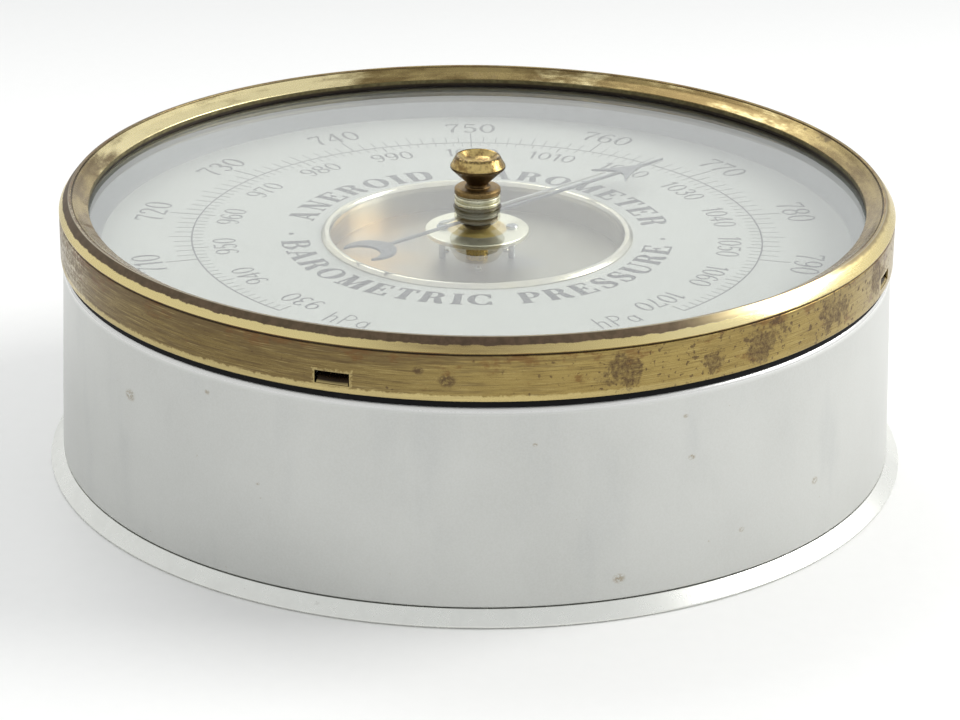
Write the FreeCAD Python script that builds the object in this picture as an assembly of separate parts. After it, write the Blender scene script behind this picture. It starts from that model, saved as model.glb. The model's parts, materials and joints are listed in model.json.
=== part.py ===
import FreeCAD, Part
import math
import os
from FreeCAD import Vector

# Aneroid barometer in a round metal case, lying on its back.
# Millimetres. Origin: centre of the back, on the plane it rests on. +Z comes out of
# the dial, +Y points to twelve o'clock on the scale.

# ---------------------------------------------------------------- driving dimensions
BEZEL_R = 75.0            # outside of the bezel's wall
BEZEL_WALL = 0.9
BEZEL_BOTTOM = 39.2
BEZEL_CORNER_Z = 47.62
BEZEL_RIDGE_R = 73.2
BEZEL_RIDGE_Z = 50.0
BEZEL_LIP_R = 69.78       # opening over the glass
BEZEL_LIP_Z = 48.14
SLOT_ANGLES = [70.4, 160.4, 250.4, 340.4]
SLOT_WIDTH = 6.0
SLOT_LOW = 40.5
SLOT_HIGH = 42.7

CASE_TOP_R = 74.57
CASE_TOP_Z = 37.94
CASE_FOOT_R = 75.77
CASE_FOOT_Z = 2.75
CASE_SHEET = 0.8
RING_TOP = CASE_FOOT_Z + CASE_SHEET
NECK_R = 73.9             # collar that the bezel slides over
NECK_TOP = 46.2
FLANGE_R = 78.21
FLANGE_TOP = 2.63
SEAT_R = 62.0             # inside of the mounting ring and the base ring
BACK_R = 70.0
BACK_RECESS_R = 70.2
BACK_LOW = 0.25
BACK_TOP = 1.25

DIAL_TOP = 39.0
DIAL_THICK = 0.8
DIAL_R = 72.9
DIAL_HOLE_R = 27.25
RIM_INNER_R = 26.4
RIM_OUTER_R = 28.3
REHAUT_LOW_R = 67.7
REHAUT_HIGH_R = 70.4
GLASS_TOP = 46.8
GLASS_THICK = 2.5
GLASS_R = 72.4
GLASS_HOLE_R = 3.3
GLASS_BOTTOM = GLASS_TOP - GLASS_THICK

KNOB_R = 5.05
KNOB_LIP_R = 3.9
KNOB_TOP = 55.8
KNOB_CONE_TOP = 53.3
KNOB_NECK_R = 1.95
KNOB_FOOT_R = 2.6
WASHER_R = 4.2
WASHER_LOW = 48.7
WASHER_HIGH = 49.9
SET_SHAFT_R = 1.2
SET_SHAFT_LOW = 42.7
SET_SHAFT_TOP = 51.2
RUN = 0.05                # radial running clearance of every shaft

# movement: all heights are measured from the resting plane
CHASSIS_LOW = RING_TOP
CHASSIS_TOP = CHASSIS_LOW + 2.0
CHASSIS_R = 67.0
LOWER_PLATE_Z = 24.0
LOWER_PLATE_THICK = 1.5
UPPER_PLATE_Z = 32.0
UPPER_PLATE_THICK = 1.4
PLATE_R = 44.0
COVER_THICK = 1.0
COVER_R = 38.0
COVER_LOW = UPPER_PLATE_Z + UPPER_PLATE_THICK
COVER_TOP = COVER_LOW + COVER_THICK
NUT_TOP = COVER_TOP + 1.3
TUBE_R = 2.0              # tube that guides the pointer's arbor
TUBE_TIP_R = 1.4
PILLAR_RING_R = 32.0
PILLAR_ANGLES = [60.0, 180.0, 300.0]
PILLAR_R = 2.8
SPIGOT_R = 1.5
HUB_DISC_R = 9.4
HUB_DISC_TOP = 40.1
HUB_DISC_LOW = HUB_DISC_TOP - 0.8
HUB_SCREW_X = 6.3
HUB_SCREW_R = 0.6
POINTER_LOW = 42.0
POINTER_THICK = 0.4
POINTER_TIP_R = 48.5
SET_HAND_R = 33.0
SET_HAND_LOW = 42.95
SET_HAND_THICK = 0.35

GEAR_MODULE = 0.5
PINION_TEETH = 12
SECTOR_TEETH = 120        # for a whole wheel
SECTOR_CUT_TEETH = 14     # pitches along the arc that is really cut
PRESSURE_ANGLE = math.radians(20.0)
PINION_R = GEAR_MODULE * PINION_TEETH / 2
SECTOR_R = GEAR_MODULE * SECTOR_TEETH / 2
TAIL_R = 5.0              # sector pivot to the finger that drives it
FINGER_LENGTH = 9.0       # rocker axis to the same finger
SHORT_ARM = 4.0           # rocker axis to the capsule's pin
ROCKER_X = -SHORT_ARM
ROCKER_Z = 21.0
SECTOR_X = ROCKER_X
SECTOR_Y = -math.sqrt((PINION_R + SECTOR_R) ** 2 - SECTOR_X ** 2)
FINGER_Y = SECTOR_Y - TAIL_R

# the reading at rest, as turns from the middle of the travel
READING_AZIMUTH = 47.8    # clockwise from twelve o'clock
SECTOR_TURN = READING_AZIMUTH * PINION_TEETH / SECTOR_TEETH
ROCKER_TURN = SECTOR_TURN * TAIL_R / FINGER_LENGTH
CAPSULE_DROP = SHORT_ARM * math.radians(ROCKER_TURN)

Z_AXIS = Vector(0, 0, 1)
Y_AXIS = Vector(0, 1, 0)
ORIGIN = Vector(0, 0, 0)
THROUGH = 100.0           # half length of a cut that goes right through


# ---------------------------------------------------------------- shared shapes
def section(points):
    """Closed wire in the XZ plane. A 4-number entry is an arc: mid r, z, end r, z."""
    edges = []
    last = Vector(points[0][0], 0, points[0][1])
    first = last
    for entry in points[1:]:
        if len(entry) == 4:
            middle = Vector(entry[0], 0, entry[1])
            end = Vector(entry[2], 0, entry[3])
            edges.append(Part.Arc(last, middle, end).toShape())
        else:
            end = Vector(entry[0], 0, entry[1])
            edges.append(Part.LineSegment(last, end).toShape())
        last = end
    if last.distanceToPoint(first) > 1e-6:
        edges.append(Part.LineSegment(last, first).toShape())
    return Part.Wire(edges)


def turned(points, x=0.0, y=0.0):
    """Solid of revolution about a vertical axis through x, y."""
    solid = Part.Face(section(points)).revolve(ORIGIN, Z_AXIS, 360)
    solid.translate(Vector(x, y, 0))
    return solid


def rod(radius, low, high, x=0.0, y=0.0):
    return Part.makeCylinder(radius, high - low, Vector(x, y, low), Z_AXIS)


def drilled(shape, radius, x=0.0, y=0.0):
    """The shape with a vertical hole right through it."""
    return shape.cut(rod(radius, -THROUGH, THROUGH, x, y))


def tube(outer, inner, low, high):
    return drilled(rod(outer, low, high), inner)


def y_rod(radius, low, high, x, z):
    return Part.makeCylinder(radius, high - low, Vector(x, low, z), Y_AXIS)


def block(x0, x1, y0, y1, z0, z1):
    return Part.makeBox(x1 - x0, y1 - y0, z1 - z0, Vector(x0, y0, z0))


def plate(points, low, thick):
    """Flat plate from a closed outline of x, y points."""
    ring = [Vector(x, y, low) for x, y in points]
    face = Part.Face(Part.makePolygon(ring + ring[:1]))
    return face.extrude(Vector(0, 0, thick))


def polar(radius, degrees):
    angle = math.radians(degrees)
    return radius * math.cos(angle), radius * math.sin(angle)


def spigot_holes(shape):
    """Holes that take the pillars' spigots."""
    for degrees in PILLAR_ANGLES:
        shape = drilled(shape, SPIGOT_R, *polar(PILLAR_RING_R, degrees))
    return shape


def turned_by(shape, x, y, degrees):
    copy = shape.copy()
    copy.rotate(Vector(x, y, 0), Z_AXIS, degrees)
    return copy


def slotted_screw(x, y, seat, head_r, head_high, shank_r, tip, slot_angle=0.0):
    """Cheese-head screw standing on its seat, head up."""
    top = seat + head_high
    round_over = 0.25 * head_high
    profile = [(0, tip), (shank_r, tip), (shank_r, seat), (head_r, seat),
               (head_r, top - round_over), (head_r - round_over, top), (0, top)]
    screw = turned(profile, x, y)
    slot = block(x - head_r - 1, x + head_r + 1, y - 0.12 * head_r, y + 0.12 * head_r,
                 top - 0.4 * head_high, top + 1)
    return screw.cut(turned_by(slot, x, y, slot_angle))


def group(shapes):
    return Part.makeCompound(shapes)


def save(name, shape):
    solids = shape.Solids
    for solid in solids:
        if not solid.isValid() or solid.Volume <= 0:
            raise ValueError("bad solid in " + name)
    result = solids[0] if len(solids) == 1 else Part.makeCompound(solids)
    result.exportStep("parts/" + name + ".step")
    print(name, len(solids), round(sum(s.Volume for s in solids), 1))


# ---------------------------------------------------------------- case
def base_ring():
    """Flared, polished foot ring that shows round the bottom of the case."""
    return turned([(BACK_RECESS_R, 0), (FLANGE_R - 0.3, 0),
                   (FLANGE_R - 0.09, 0.08, FLANGE_R, 0.3), (CASE_FOOT_R + 0.18, 2.45),
                   (CASE_FOOT_R + 0.13, 2.58, CASE_FOOT_R - 0.02, FLANGE_TOP),
                   (SEAT_R, FLANGE_TOP), (SEAT_R, BACK_TOP), (BACK_RECESS_R, BACK_TOP)])


BACK_SCREW_R = 66.0
BACK_SCREW_SHANK_R = 1.5
BACK_SCREW_HOLE_R = 1.7
BACK_SCREW_ANGLES = [30.0, 150.0, 270.0]
KEYHOLE_Y = 46.0
KEYHOLE_HEAD_R = 4.6
KEYHOLE_SLOT = 4.6
KEYHOLE_RISE = 8.0
ACCESS_R = 4.0
AIR_HOLE_R = 1.5
AIR_HOLE_RING_R = 50.0
AIR_HOLE_ANGLES = [195.0, 225.0, 315.0, 345.0]


def back_plate():
    """Sheet back with a hanging keyhole, the adjuster's hole and air holes."""
    body = rod(BACK_R, BACK_LOW, BACK_TOP)
    body = drilled(body, KEYHOLE_HEAD_R, 0, KEYHOLE_Y)
    slot_top = KEYHOLE_Y + KEYHOLE_RISE
    slot = block(-KEYHOLE_SLOT / 2, KEYHOLE_SLOT / 2, KEYHOLE_Y, slot_top, -THROUGH, THROUGH)
    body = drilled(body.cut(slot), KEYHOLE_SLOT / 2, 0, slot_top)
    body = drilled(body, ACCESS_R)
    for degrees in AIR_HOLE_ANGLES:
        body = drilled(body, AIR_HOLE_R, *polar(AIR_HOLE_RING_R, degrees))
    for degrees in BACK_SCREW_ANGLES:
        x, y = polar(BACK_SCREW_R, degrees)
        body = body.cut(turned([(0, 0), (2.95, 0), (2.95, BACK_LOW), (1.75, BACK_TOP),
                                (1.75, BACK_TOP + 1), (0, BACK_TOP + 1)], x, y))
    return body


def back_screws():
    """Three countersunk screws through the back, ring and case into the chassis."""
    screws = []
    for degrees in BACK_SCREW_ANGLES:
        x, y = polar(BACK_SCREW_R, degrees)
        screw = turned([(0, 0.3), (2.7, 0.3), (BACK_SCREW_SHANK_R, 1.4),
                        (BACK_SCREW_SHANK_R, 6.6), (0, 6.6)], x, y)
        slot = block(x - 3, x + 3, y - 0.35, y + 0.35, 0, 0.75)
        screws.append(screw.cut(turned_by(slot, x, y, degrees)))
    return group(screws)


def screw_clearance(shape, radius):
    for degrees in BACK_SCREW_ANGLES:
        shape = drilled(shape, radius, *polar(BACK_SCREW_R, degrees))
    return shape


def slot_window(inner, outer, margin):
    """Radial blocks that cut the four locking windows."""
    blocks = []
    half = SLOT_WIDTH / 2 + margin
    for degrees in SLOT_ANGLES:
        window = block(inner, outer, -half, half, SLOT_LOW - margin, SLOT_HIGH + margin)
        blocks.append(turned_by(window, 0, 0, degrees))
    return blocks


def case_shell():
    """Drawn case: tapered wall, rounded shoulder and the collar under the bezel."""
    inner_top = CASE_TOP_Z - CASE_SHEET
    foot_inner = CASE_FOOT_R - CASE_SHEET
    body = turned([(foot_inner, CASE_FOOT_Z), (CASE_FOOT_R - 0.3, CASE_FOOT_Z),
                   (CASE_FOOT_R - 0.08, 2.84, CASE_FOOT_R, 3.05),
                   (CASE_TOP_R + 0.05, CASE_TOP_Z - 1.34),
                   (CASE_TOP_R - 0.08, CASE_TOP_Z - 0.59, NECK_R + 0.1, CASE_TOP_Z),
                   (NECK_R, CASE_TOP_Z),
                   (NECK_R, NECK_TOP - 0.3), (NECK_R - 0.3, NECK_TOP),
                   (NECK_R - CASE_SHEET, NECK_TOP), (NECK_R - CASE_SHEET, inner_top),
                   (CASE_TOP_R - CASE_SHEET, inner_top)])
    for window in slot_window(NECK_R - 3, NECK_R + 0.6, 0.3):
        body = body.cut(window)
    return body


def mounting_ring():
    """Flat ring brazed inside the foot of the case: the back screws clamp it."""
    outer = CASE_FOOT_R - CASE_SHEET - 0.03
    return screw_clearance(tube(outer, SEAT_R, CASE_FOOT_Z, RING_TOP), BACK_SCREW_HOLE_R)


def case_gasket():
    """Flat rubber ring squeezed between the case's shoulder and the bezel."""
    inner, bevel, bulge = NECK_R + 0.02, 0.35, 0.15
    outer = CASE_TOP_R - bulge
    return turned([(inner, CASE_TOP_Z), (outer - bevel, CASE_TOP_Z),
                   (outer, CASE_TOP_Z + bevel), (outer, BEZEL_BOTTOM - bevel),
                   (outer - bevel, BEZEL_BOTTOM), (inner, BEZEL_BOTTOM)])


SEAT_SHEET = 0.8


def dial_seat():
    """Angle ring inside the collar that carries the dial."""
    top, foot, inner = DIAL_TOP - DIAL_THICK, 33.6, 65.5
    outer = NECK_R - CASE_SHEET
    return turned([(inner, top - SEAT_SHEET), (outer - SEAT_SHEET, top - SEAT_SHEET),
                   (outer - SEAT_SHEET, foot), (outer, foot), (outer, top), (inner, top)])


def bezel():
    """Spun brass bezel with four tongues lanced inwards out of its wall."""
    inner = BEZEL_R - BEZEL_WALL
    body = turned([
        (inner, BEZEL_BOTTOM), (BEZEL_R - 0.2, BEZEL_BOTTOM),
        (BEZEL_R - 0.06, BEZEL_BOTTOM + 0.06, BEZEL_R, BEZEL_BOTTOM + 0.2),
        (BEZEL_R, 47.1), (BEZEL_R - 0.18, 47.25), (BEZEL_R - 0.18, 47.38),
        (BEZEL_R + 0.02, 47.5), (BEZEL_R + 0.03, BEZEL_CORNER_Z, 74.92, 47.8),
        (74.35, 48.98, BEZEL_RIDGE_R + 0.22, 49.88),
        (BEZEL_RIDGE_R + 0.02, BEZEL_RIDGE_Z, BEZEL_RIDGE_R - 0.22, 49.93),
        (BEZEL_RIDGE_R - 0.4, 49.62), (BEZEL_RIDGE_R - 0.52, 49.62),
        (BEZEL_RIDGE_R - 0.6, 49.72, BEZEL_RIDGE_R - 0.8, 49.66),
        (71.6, 49.05, BEZEL_LIP_R + 0.25, BEZEL_LIP_Z + 0.08),
        (BEZEL_LIP_R + 0.05, BEZEL_LIP_Z, BEZEL_LIP_R, BEZEL_LIP_Z - 0.25),
        (BEZEL_LIP_R, GLASS_TOP), (BEZEL_LIP_R + 0.9, GLASS_TOP),
        (BEZEL_LIP_R + 0.9, 47.5), (72.9, 48.85), (73.4, 48.75, 73.75, 48.3),
        (inner, 47.1)])
    for window in slot_window(NECK_R - 1, BEZEL_R + 1, 0):
        body = body.cut(window)
    # each tongue hinges on the lower edge of its window and leans in over the collar
    tongue_width = SLOT_WIDTH - 0.5
    low = SLOT_LOW
    tongue_face = Part.Face(section([(74.15, low - 0.3), (74.85, low - 0.3),
                                     (74.85, low + 0.15), (73.35, low + 1.75),
                                     (72.85, low + 1.3)]))
    tongue = tongue_face.extrude(Vector(0, tongue_width, 0))
    tongue.translate(Vector(0, -tongue_width / 2, 0))
    for degrees in SLOT_ANGLES:
        body = body.fuse(turned_by(tongue, 0, 0, degrees))
    return body


# ---------------------------------------------------------------- dial and glass
def dial():
    return tube(DIAL_R, DIAL_HOLE_R, DIAL_TOP - DIAL_THICK, DIAL_TOP)


def dial_rim():
    """Rolled trim round the dial's opening, with a sleeve down to the cover plate."""
    middle = (RIM_INNER_R + RIM_OUTER_R) / 2
    return turned([(RIM_INNER_R, COVER_TOP), (DIAL_HOLE_R, COVER_TOP), (DIAL_HOLE_R, DIAL_TOP),
                   (RIM_OUTER_R, DIAL_TOP), (middle, DIAL_TOP + 0.85, RIM_INNER_R, DIAL_TOP)])


def rehaut():
    """Sloping inner ring between the dial and the glass."""
    top = GLASS_BOTTOM - 0.25
    sheet = 0.7
    return turned([(REHAUT_LOW_R, DIAL_TOP), (REHAUT_LOW_R + 1.6, DIAL_TOP),
                   (REHAUT_HIGH_R + sheet, top - sheet), (72.9, top - sheet), (72.9, top),
                   (REHAUT_HIGH_R + 0.15, top), (REHAUT_HIGH_R, top - 0.05,
                                                 REHAUT_HIGH_R - 0.08, top - 0.2)])


def glass_gasket():
    return tube(GLASS_R, 71.2, GLASS_BOTTOM - 0.25, GLASS_BOTTOM)


def glass():
    edge = 0.3
    return turned([(GLASS_HOLE_R, GLASS_BOTTOM), (GLASS_R - edge, GLASS_BOTTOM),
                   (GLASS_R, GLASS_BOTTOM + edge), (GLASS_R, GLASS_TOP - edge),
                   (GLASS_R - edge, GLASS_TOP), (GLASS_HOLE_R + edge, GLASS_TOP),
                   (GLASS_HOLE_R, GLASS_TOP - edge)])


# ---------------------------------------------------------------- set hand and its knob
BUSH_BODY_R = 3.2
NUT_LOW = 43.75


def knob_bush():
    """Banded bush through the glass."""
    bore = SET_SHAFT_R + RUN
    top = WASHER_LOW - 0.1
    return turned([(bore, NUT_LOW), (BUSH_BODY_R, NUT_LOW), (BUSH_BODY_R, GLASS_TOP),
                   (3.95, GLASS_TOP), (4.2, 47.05, 3.95, 47.35), (3.7, 47.42),
                   (3.7, 47.6), (3.95, 47.68), (4.2, 48.0, 3.95, 48.35),
                   (3.7, 48.42), (3.7, top), (bore, top)])


def bush_nut():
    """Round nut that clamps the bush from below the glass."""
    return turned([(BUSH_BODY_R, NUT_LOW), (4.2, NUT_LOW), (4.4, NUT_LOW + 0.2),
                   (4.4, GLASS_BOTTOM), (BUSH_BODY_R, GLASS_BOTTOM)])


def knob_washer():
    return turned([(SET_SHAFT_R, WASHER_LOW), (WASHER_R - 0.15, WASHER_LOW),
                   (WASHER_R, WASHER_LOW + 0.15), (WASHER_R, 49.55),
                   (4.05, 49.82, 3.7, WASHER_HIGH), (SET_SHAFT_R, WASHER_HIGH)])


def set_knob():
    """Brass knob: a straight cone on a narrow foot, a bevelled cup and a dished top."""
    return turned([
        (0, SET_SHAFT_TOP), (SET_SHAFT_R, SET_SHAFT_TOP), (SET_SHAFT_R, WASHER_HIGH),
        (KNOB_FOOT_R, WASHER_HIGH), (2.1, 50.08, KNOB_NECK_R, 50.4),
        (KNOB_NECK_R + 0.15, 50.75), (KNOB_R - 0.25, KNOB_CONE_TOP),
        (KNOB_R - 0.05, KNOB_CONE_TOP + 0.14, KNOB_R, KNOB_CONE_TOP + 0.35),
        (KNOB_R, 53.95), (4.98, 54.15, 4.85, 54.35), (KNOB_LIP_R + 0.15, 55.68),
        (KNOB_LIP_R, KNOB_TOP, KNOB_LIP_R - 0.2, 55.74), (1.9, 54.75, 0.4, 54.5), (0, 54.5)])


def set_shaft():
    return rod(SET_SHAFT_R, SET_SHAFT_LOW, SET_SHAFT_TOP)


SET_HUB_R = 2.6
SET_FLANGE_R = 4.1


def set_hand_boss():
    """Hub of the set hand, with a flange over the hand's ring."""
    seat = SET_HAND_LOW + SET_HAND_THICK
    top = seat + 0.35
    return turned([(SET_SHAFT_R, SET_SHAFT_LOW), (SET_HUB_R - 0.2, SET_SHAFT_LOW),
                   (SET_HUB_R, SET_HAND_LOW), (SET_HUB_R, seat), (3.95, seat),
                   (SET_FLANGE_R, seat + 0.15), (SET_FLANGE_R, top), (SET_SHAFT_R, top)])


def set_hand():
    """Slim plated hand, shorter than the pointer, pressed on its boss."""
    root, tip, tail = 0.22, 0.12, 0.5
    taper_from = 20.0
    outline = [(-9.5, 0), (-8.9, tail), (-7.8, tail), (-6.8, root), (taper_from, root),
               (SET_HAND_R, tip), (SET_HAND_R, -tip), (taper_from, -root), (-6.8, -root),
               (-7.8, -tail), (-8.9, -tail)]
    arm = plate(outline, SET_HAND_LOW, SET_HAND_THICK)
    ring = rod(SET_HUB_R + 1.2, SET_HAND_LOW, SET_HAND_LOW + SET_HAND_THICK)
    hand = drilled(arm.fuse(ring), SET_HUB_R).removeSplitter()
    return turned_by(hand, 0, 0, 90 - READING_AZIMUTH)


# ---------------------------------------------------------------- chassis and capsule
BUSH_R = 3.9
ADJUSTER_R = 1.95
POST_FOOT_R = 4.5
POST_LOW = 7.6
POST_TOP = 9.0
CAPSULE_BOSS_R = 3.0


def chassis():
    """Movement chassis, with a window behind the keyhole and lightening windows."""
    body = drilled(rod(CHASSIS_R, CHASSIS_LOW, CHASSIS_TOP), BUSH_R)
    body = body.cut(block(-12, 12, 38, 61, -THROUGH, THROUGH))
    for degrees in (0, 120, 240):
        body = drilled(body, 8.5, *polar(49.0, degrees))
    return screw_clearance(spigot_holes(body), BACK_SCREW_SHANK_R)


def pillars(low, high, spigot_low, spigot_high):
    """Three shouldered posts, each with a spigot at both ends."""
    posts = []
    for degrees in PILLAR_ANGLES:
        x, y = polar(PILLAR_RING_R, degrees)
        posts.append(turned([(0, spigot_low), (SPIGOT_R, spigot_low), (SPIGOT_R, low),
                             (PILLAR_R, low), (PILLAR_R, high), (SPIGOT_R, high),
                             (SPIGOT_R, spigot_high), (0, spigot_high)], x, y))
    return group(posts)


def adjuster_bush():
    bore = ADJUSTER_R + RUN
    collar_top = CHASSIS_TOP + 1.0
    return turned([(bore, CHASSIS_LOW), (BUSH_R, CHASSIS_LOW), (BUSH_R, CHASSIS_TOP),
                   (6.0, CHASSIS_TOP), (6.0, collar_top), (POST_FOOT_R, collar_top),
                   (POST_FOOT_R, POST_LOW), (bore, POST_LOW)])


def adjusting_screw():
    """Slotted screw reached through the hole in the back."""
    head_low = 1.6
    head_high = CHASSIS_LOW - 0.05
    body = turned([(0, head_low), (2.8, head_low), (3.1, head_low + 0.3),
                   (3.1, head_high), (ADJUSTER_R, head_high), (ADJUSTER_R, POST_LOW - 0.1),
                   (0, POST_LOW - 0.1)])
    return body.cut(block(-4, 4, -0.4, 0.4, 0, head_low + 0.8))


def capsule_post():
    return turned([(0, POST_LOW), (POST_FOOT_R, POST_LOW), (POST_FOOT_R, POST_LOW + 0.8),
                   (CAPSULE_BOSS_R, POST_TOP), (0, POST_TOP)])


HEAD_LOW = 18.0 - CAPSULE_DROP
CAPSULE_R = 22.5
CAPSULE_GAP = 0.6
CAPSULE_SKIN = 0.28
CAPSULE_RIM = 0.45        # half the height of a capsule's rim
CORRUGATION_START = 4.5
CORRUGATION_WIDTH = 2.0
CORRUGATION_HEIGHT = 0.38
CORRUGATIONS = 8


def diaphragm(middle, side, half, outer_r):
    """Half section of a skin stamped with flat-topped corrugations, from boss to rim."""
    level = middle + side * half
    points = [(CAPSULE_BOSS_R, level), (CORRUGATION_START, level)]
    for number in range(CORRUGATIONS):
        crest = level + side * CORRUGATION_HEIGHT * (1 if number % 2 else -1)
        start = CORRUGATION_START + number * CORRUGATION_WIDTH
        points += [(start + 0.3 * CORRUGATION_WIDTH, crest),
                   (start + 0.7 * CORRUGATION_WIDTH, crest),
                   (start + CORRUGATION_WIDTH, level)]
    return points + [(outer_r, middle + side * CAPSULE_RIM)]


def lens(middle, half, outer_r):
    """Round solid between two corrugated skins, hollow up the middle."""
    upper = diaphragm(middle, 1, half, outer_r)
    lower = diaphragm(middle, -1, half, outer_r)
    return turned(upper + lower[::-1])


def capsule_body(middle, half):
    """One corrugated capsule, hollow round its central boss."""
    hollow = lens(middle, half - CAPSULE_SKIN, CAPSULE_R - 0.5)
    boss = rod(CAPSULE_BOSS_R, middle - half, middle + half)
    return lens(middle, half, CAPSULE_R).cut(hollow).fuse(boss)


def capsule_stack():
    """Two evacuated capsules joined at their centres, with end bosses."""
    end_gap = 0.15
    overlap = 0.1
    half = (HEAD_LOW - POST_TOP - CAPSULE_GAP) / 4 - end_gap
    lower_middle = POST_TOP + end_gap + half
    upper_middle = HEAD_LOW - end_gap - half
    stack = capsule_body(lower_middle, half).fuse(capsule_body(upper_middle, half))
    return stack.fuse([
        rod(CAPSULE_BOSS_R, POST_TOP, lower_middle - half + overlap),
        rod(CAPSULE_BOSS_R, lower_middle + half - overlap, upper_middle - half + overlap),
        rod(CAPSULE_BOSS_R, upper_middle + half - overlap, HEAD_LOW)])


HEAD_PIN_R = 0.6


def capsule_head():
    """Stud on the capsule with a fork for the rocker's short arm."""
    pin_z = ROCKER_Z - CAPSULE_DROP
    body = rod(2.4, HEAD_LOW, HEAD_LOW + 1.0)
    ears = block(-1.3, 1.7, -2.2, 2.2, HEAD_LOW + 1.0, pin_z + 1.3)
    gap = block(-3, 3, -1.25, 1.25, HEAD_LOW + 1.3, pin_z + 3)
    return body.fuse(ears).cut(gap).cut(y_rod(HEAD_PIN_R, -4, 4, 0, pin_z))


def head_pin():
    return y_rod(HEAD_PIN_R, -2.5, 2.5, 0, ROCKER_Z - CAPSULE_DROP)


# ---------------------------------------------------------------- rocker
SHAFT_R = 1.2
PIVOT_R = 0.5
BEARING_Y = [(8.0, 10.0), (-42.6, -40.6)]


def rocked(shape):
    """Turn a rocker piece from mid travel to the reading at rest."""
    copy = shape.copy()
    copy.rotate(Vector(ROCKER_X, 0, ROCKER_Z), Y_AXIS, ROCKER_TURN)
    return copy


def rocker_shaft():
    body = y_rod(SHAFT_R, BEARING_Y[1][1] + 0.2, BEARING_Y[0][0] - 0.2, ROCKER_X, ROCKER_Z)
    pivots = y_rod(PIVOT_R, BEARING_Y[1][0] + 0.4, BEARING_Y[0][1] - 0.4, ROCKER_X, ROCKER_Z)
    return body.fuse(pivots)


def rocker_arm():
    """Short arm, slotted for the capsule's pin."""
    collar = y_rod(1.9, -2.4, 2.4, ROCKER_X, ROCKER_Z)
    arm = block(ROCKER_X, 1.3, -1.0, 1.0, ROCKER_Z - 1.1, ROCKER_Z + 1.1)
    body = collar.fuse(arm).cut(y_rod(SHAFT_R, -5, 5, ROCKER_X, ROCKER_Z))
    reach = HEAD_PIN_R + 0.12
    slot = block(-0.5, 0.5, -2, 2, ROCKER_Z - reach, ROCKER_Z + reach)
    for x in (-0.5, 0.5):
        slot = slot.fuse(y_rod(reach, -2, 2, x, ROCKER_Z))
    return rocked(body.cut(slot))


FINGER_PIN_R = 0.5
FINGER_TOP = 28.2


def bimetal_finger():
    """Upright two-metal strip that corrects for temperature, on a clamped collar."""
    collar = y_rod(2.0, FINGER_Y - 1.5, FINGER_Y + 1.5, ROCKER_X, ROCKER_Z)
    strip = block(ROCKER_X - 0.45, ROCKER_X + 0.45, FINGER_Y - 1.2, FINGER_Y + 1.2,
                  ROCKER_Z + 1.5, FINGER_TOP)
    body = collar.fuse(strip).cut(y_rod(SHAFT_R, FINGER_Y - 3, FINGER_Y + 3, ROCKER_X, ROCKER_Z))
    return rocked(body)


def finger_pin():
    return rocked(rod(FINGER_PIN_R, FINGER_TOP, FINGER_TOP + 2.7, ROCKER_X, FINGER_Y))


def rocker_bearings():
    """Two blocks under the lower plate that hold the rocker's pivots."""
    blocks = []
    for low, high in BEARING_Y:
        body = block(ROCKER_X - 3, ROCKER_X + 3, low, high, ROCKER_Z - 2.2, LOWER_PLATE_Z)
        blocks.append(body.cut(y_rod(PIVOT_R + RUN, low - 1, high + 1, ROCKER_X, ROCKER_Z)))
    return group(blocks)


# ---------------------------------------------------------------- toothed sector and pinion
def involute(angle):
    return math.tan(angle) - angle


ADDENDUM = 0.8            # tooth heights in modules: shortened tips, deep roots
DEDENDUM = 1.1
TOOTH_SHARE = 0.42        # of the pitch, the rest being the gap and its backlash


def tooth(teeth, centre_degrees):
    """Points of one involute tooth, counter-clockwise."""
    pitch_r = GEAR_MODULE * teeth / 2
    base_r = pitch_r * math.cos(PRESSURE_ANGLE)
    tip_r = pitch_r + ADDENDUM * GEAR_MODULE
    root_r = pitch_r - DEDENDUM * GEAR_MODULE
    half_pitch = TOOTH_SHARE * math.pi * GEAR_MODULE / 2 / pitch_r
    flank = []
    start = max(base_r, root_r)
    for share in (0.0, 0.35, 0.7, 1.0):
        radius = start + (tip_r - start) * share
        roll = math.acos(min(1.0, base_r / radius))
        half = half_pitch + involute(PRESSURE_ANGLE) - involute(roll)
        flank.append((radius, half))
    flank.insert(0, (root_r, flank[0][1]))
    centre = math.radians(centre_degrees)
    rising = [(r, centre - half) for r, half in flank]
    falling = [(r, centre + half) for r, half in reversed(flank)]
    return [(r * math.cos(a), r * math.sin(a)) for r, a in rising + falling]


PINION_LOW = 28.3
PINION_HIGH = 30.3
ARBOR_R = 0.6
ARBOR_PIVOT_R = 0.4


def pinion():
    """Pinion with a tooth gap facing the sector at mid travel, then turned to rest."""
    toward_sector = math.degrees(math.atan2(SECTOR_Y, SECTOR_X))
    step = 360 / PINION_TEETH
    outline = []
    for number in range(PINION_TEETH):
        outline += tooth(PINION_TEETH, toward_sector + (number + 0.5) * step)
    body = plate(outline, PINION_LOW, PINION_HIGH - PINION_LOW)
    return turned_by(drilled(body, ARBOR_R), 0, 0, -READING_AZIMUTH)


SECTOR_LOW = 28.9
SECTOR_THICK = 0.8
SECTOR_HUB_R = 2.6
SECTOR_ARBOR_R = 1.0


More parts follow.
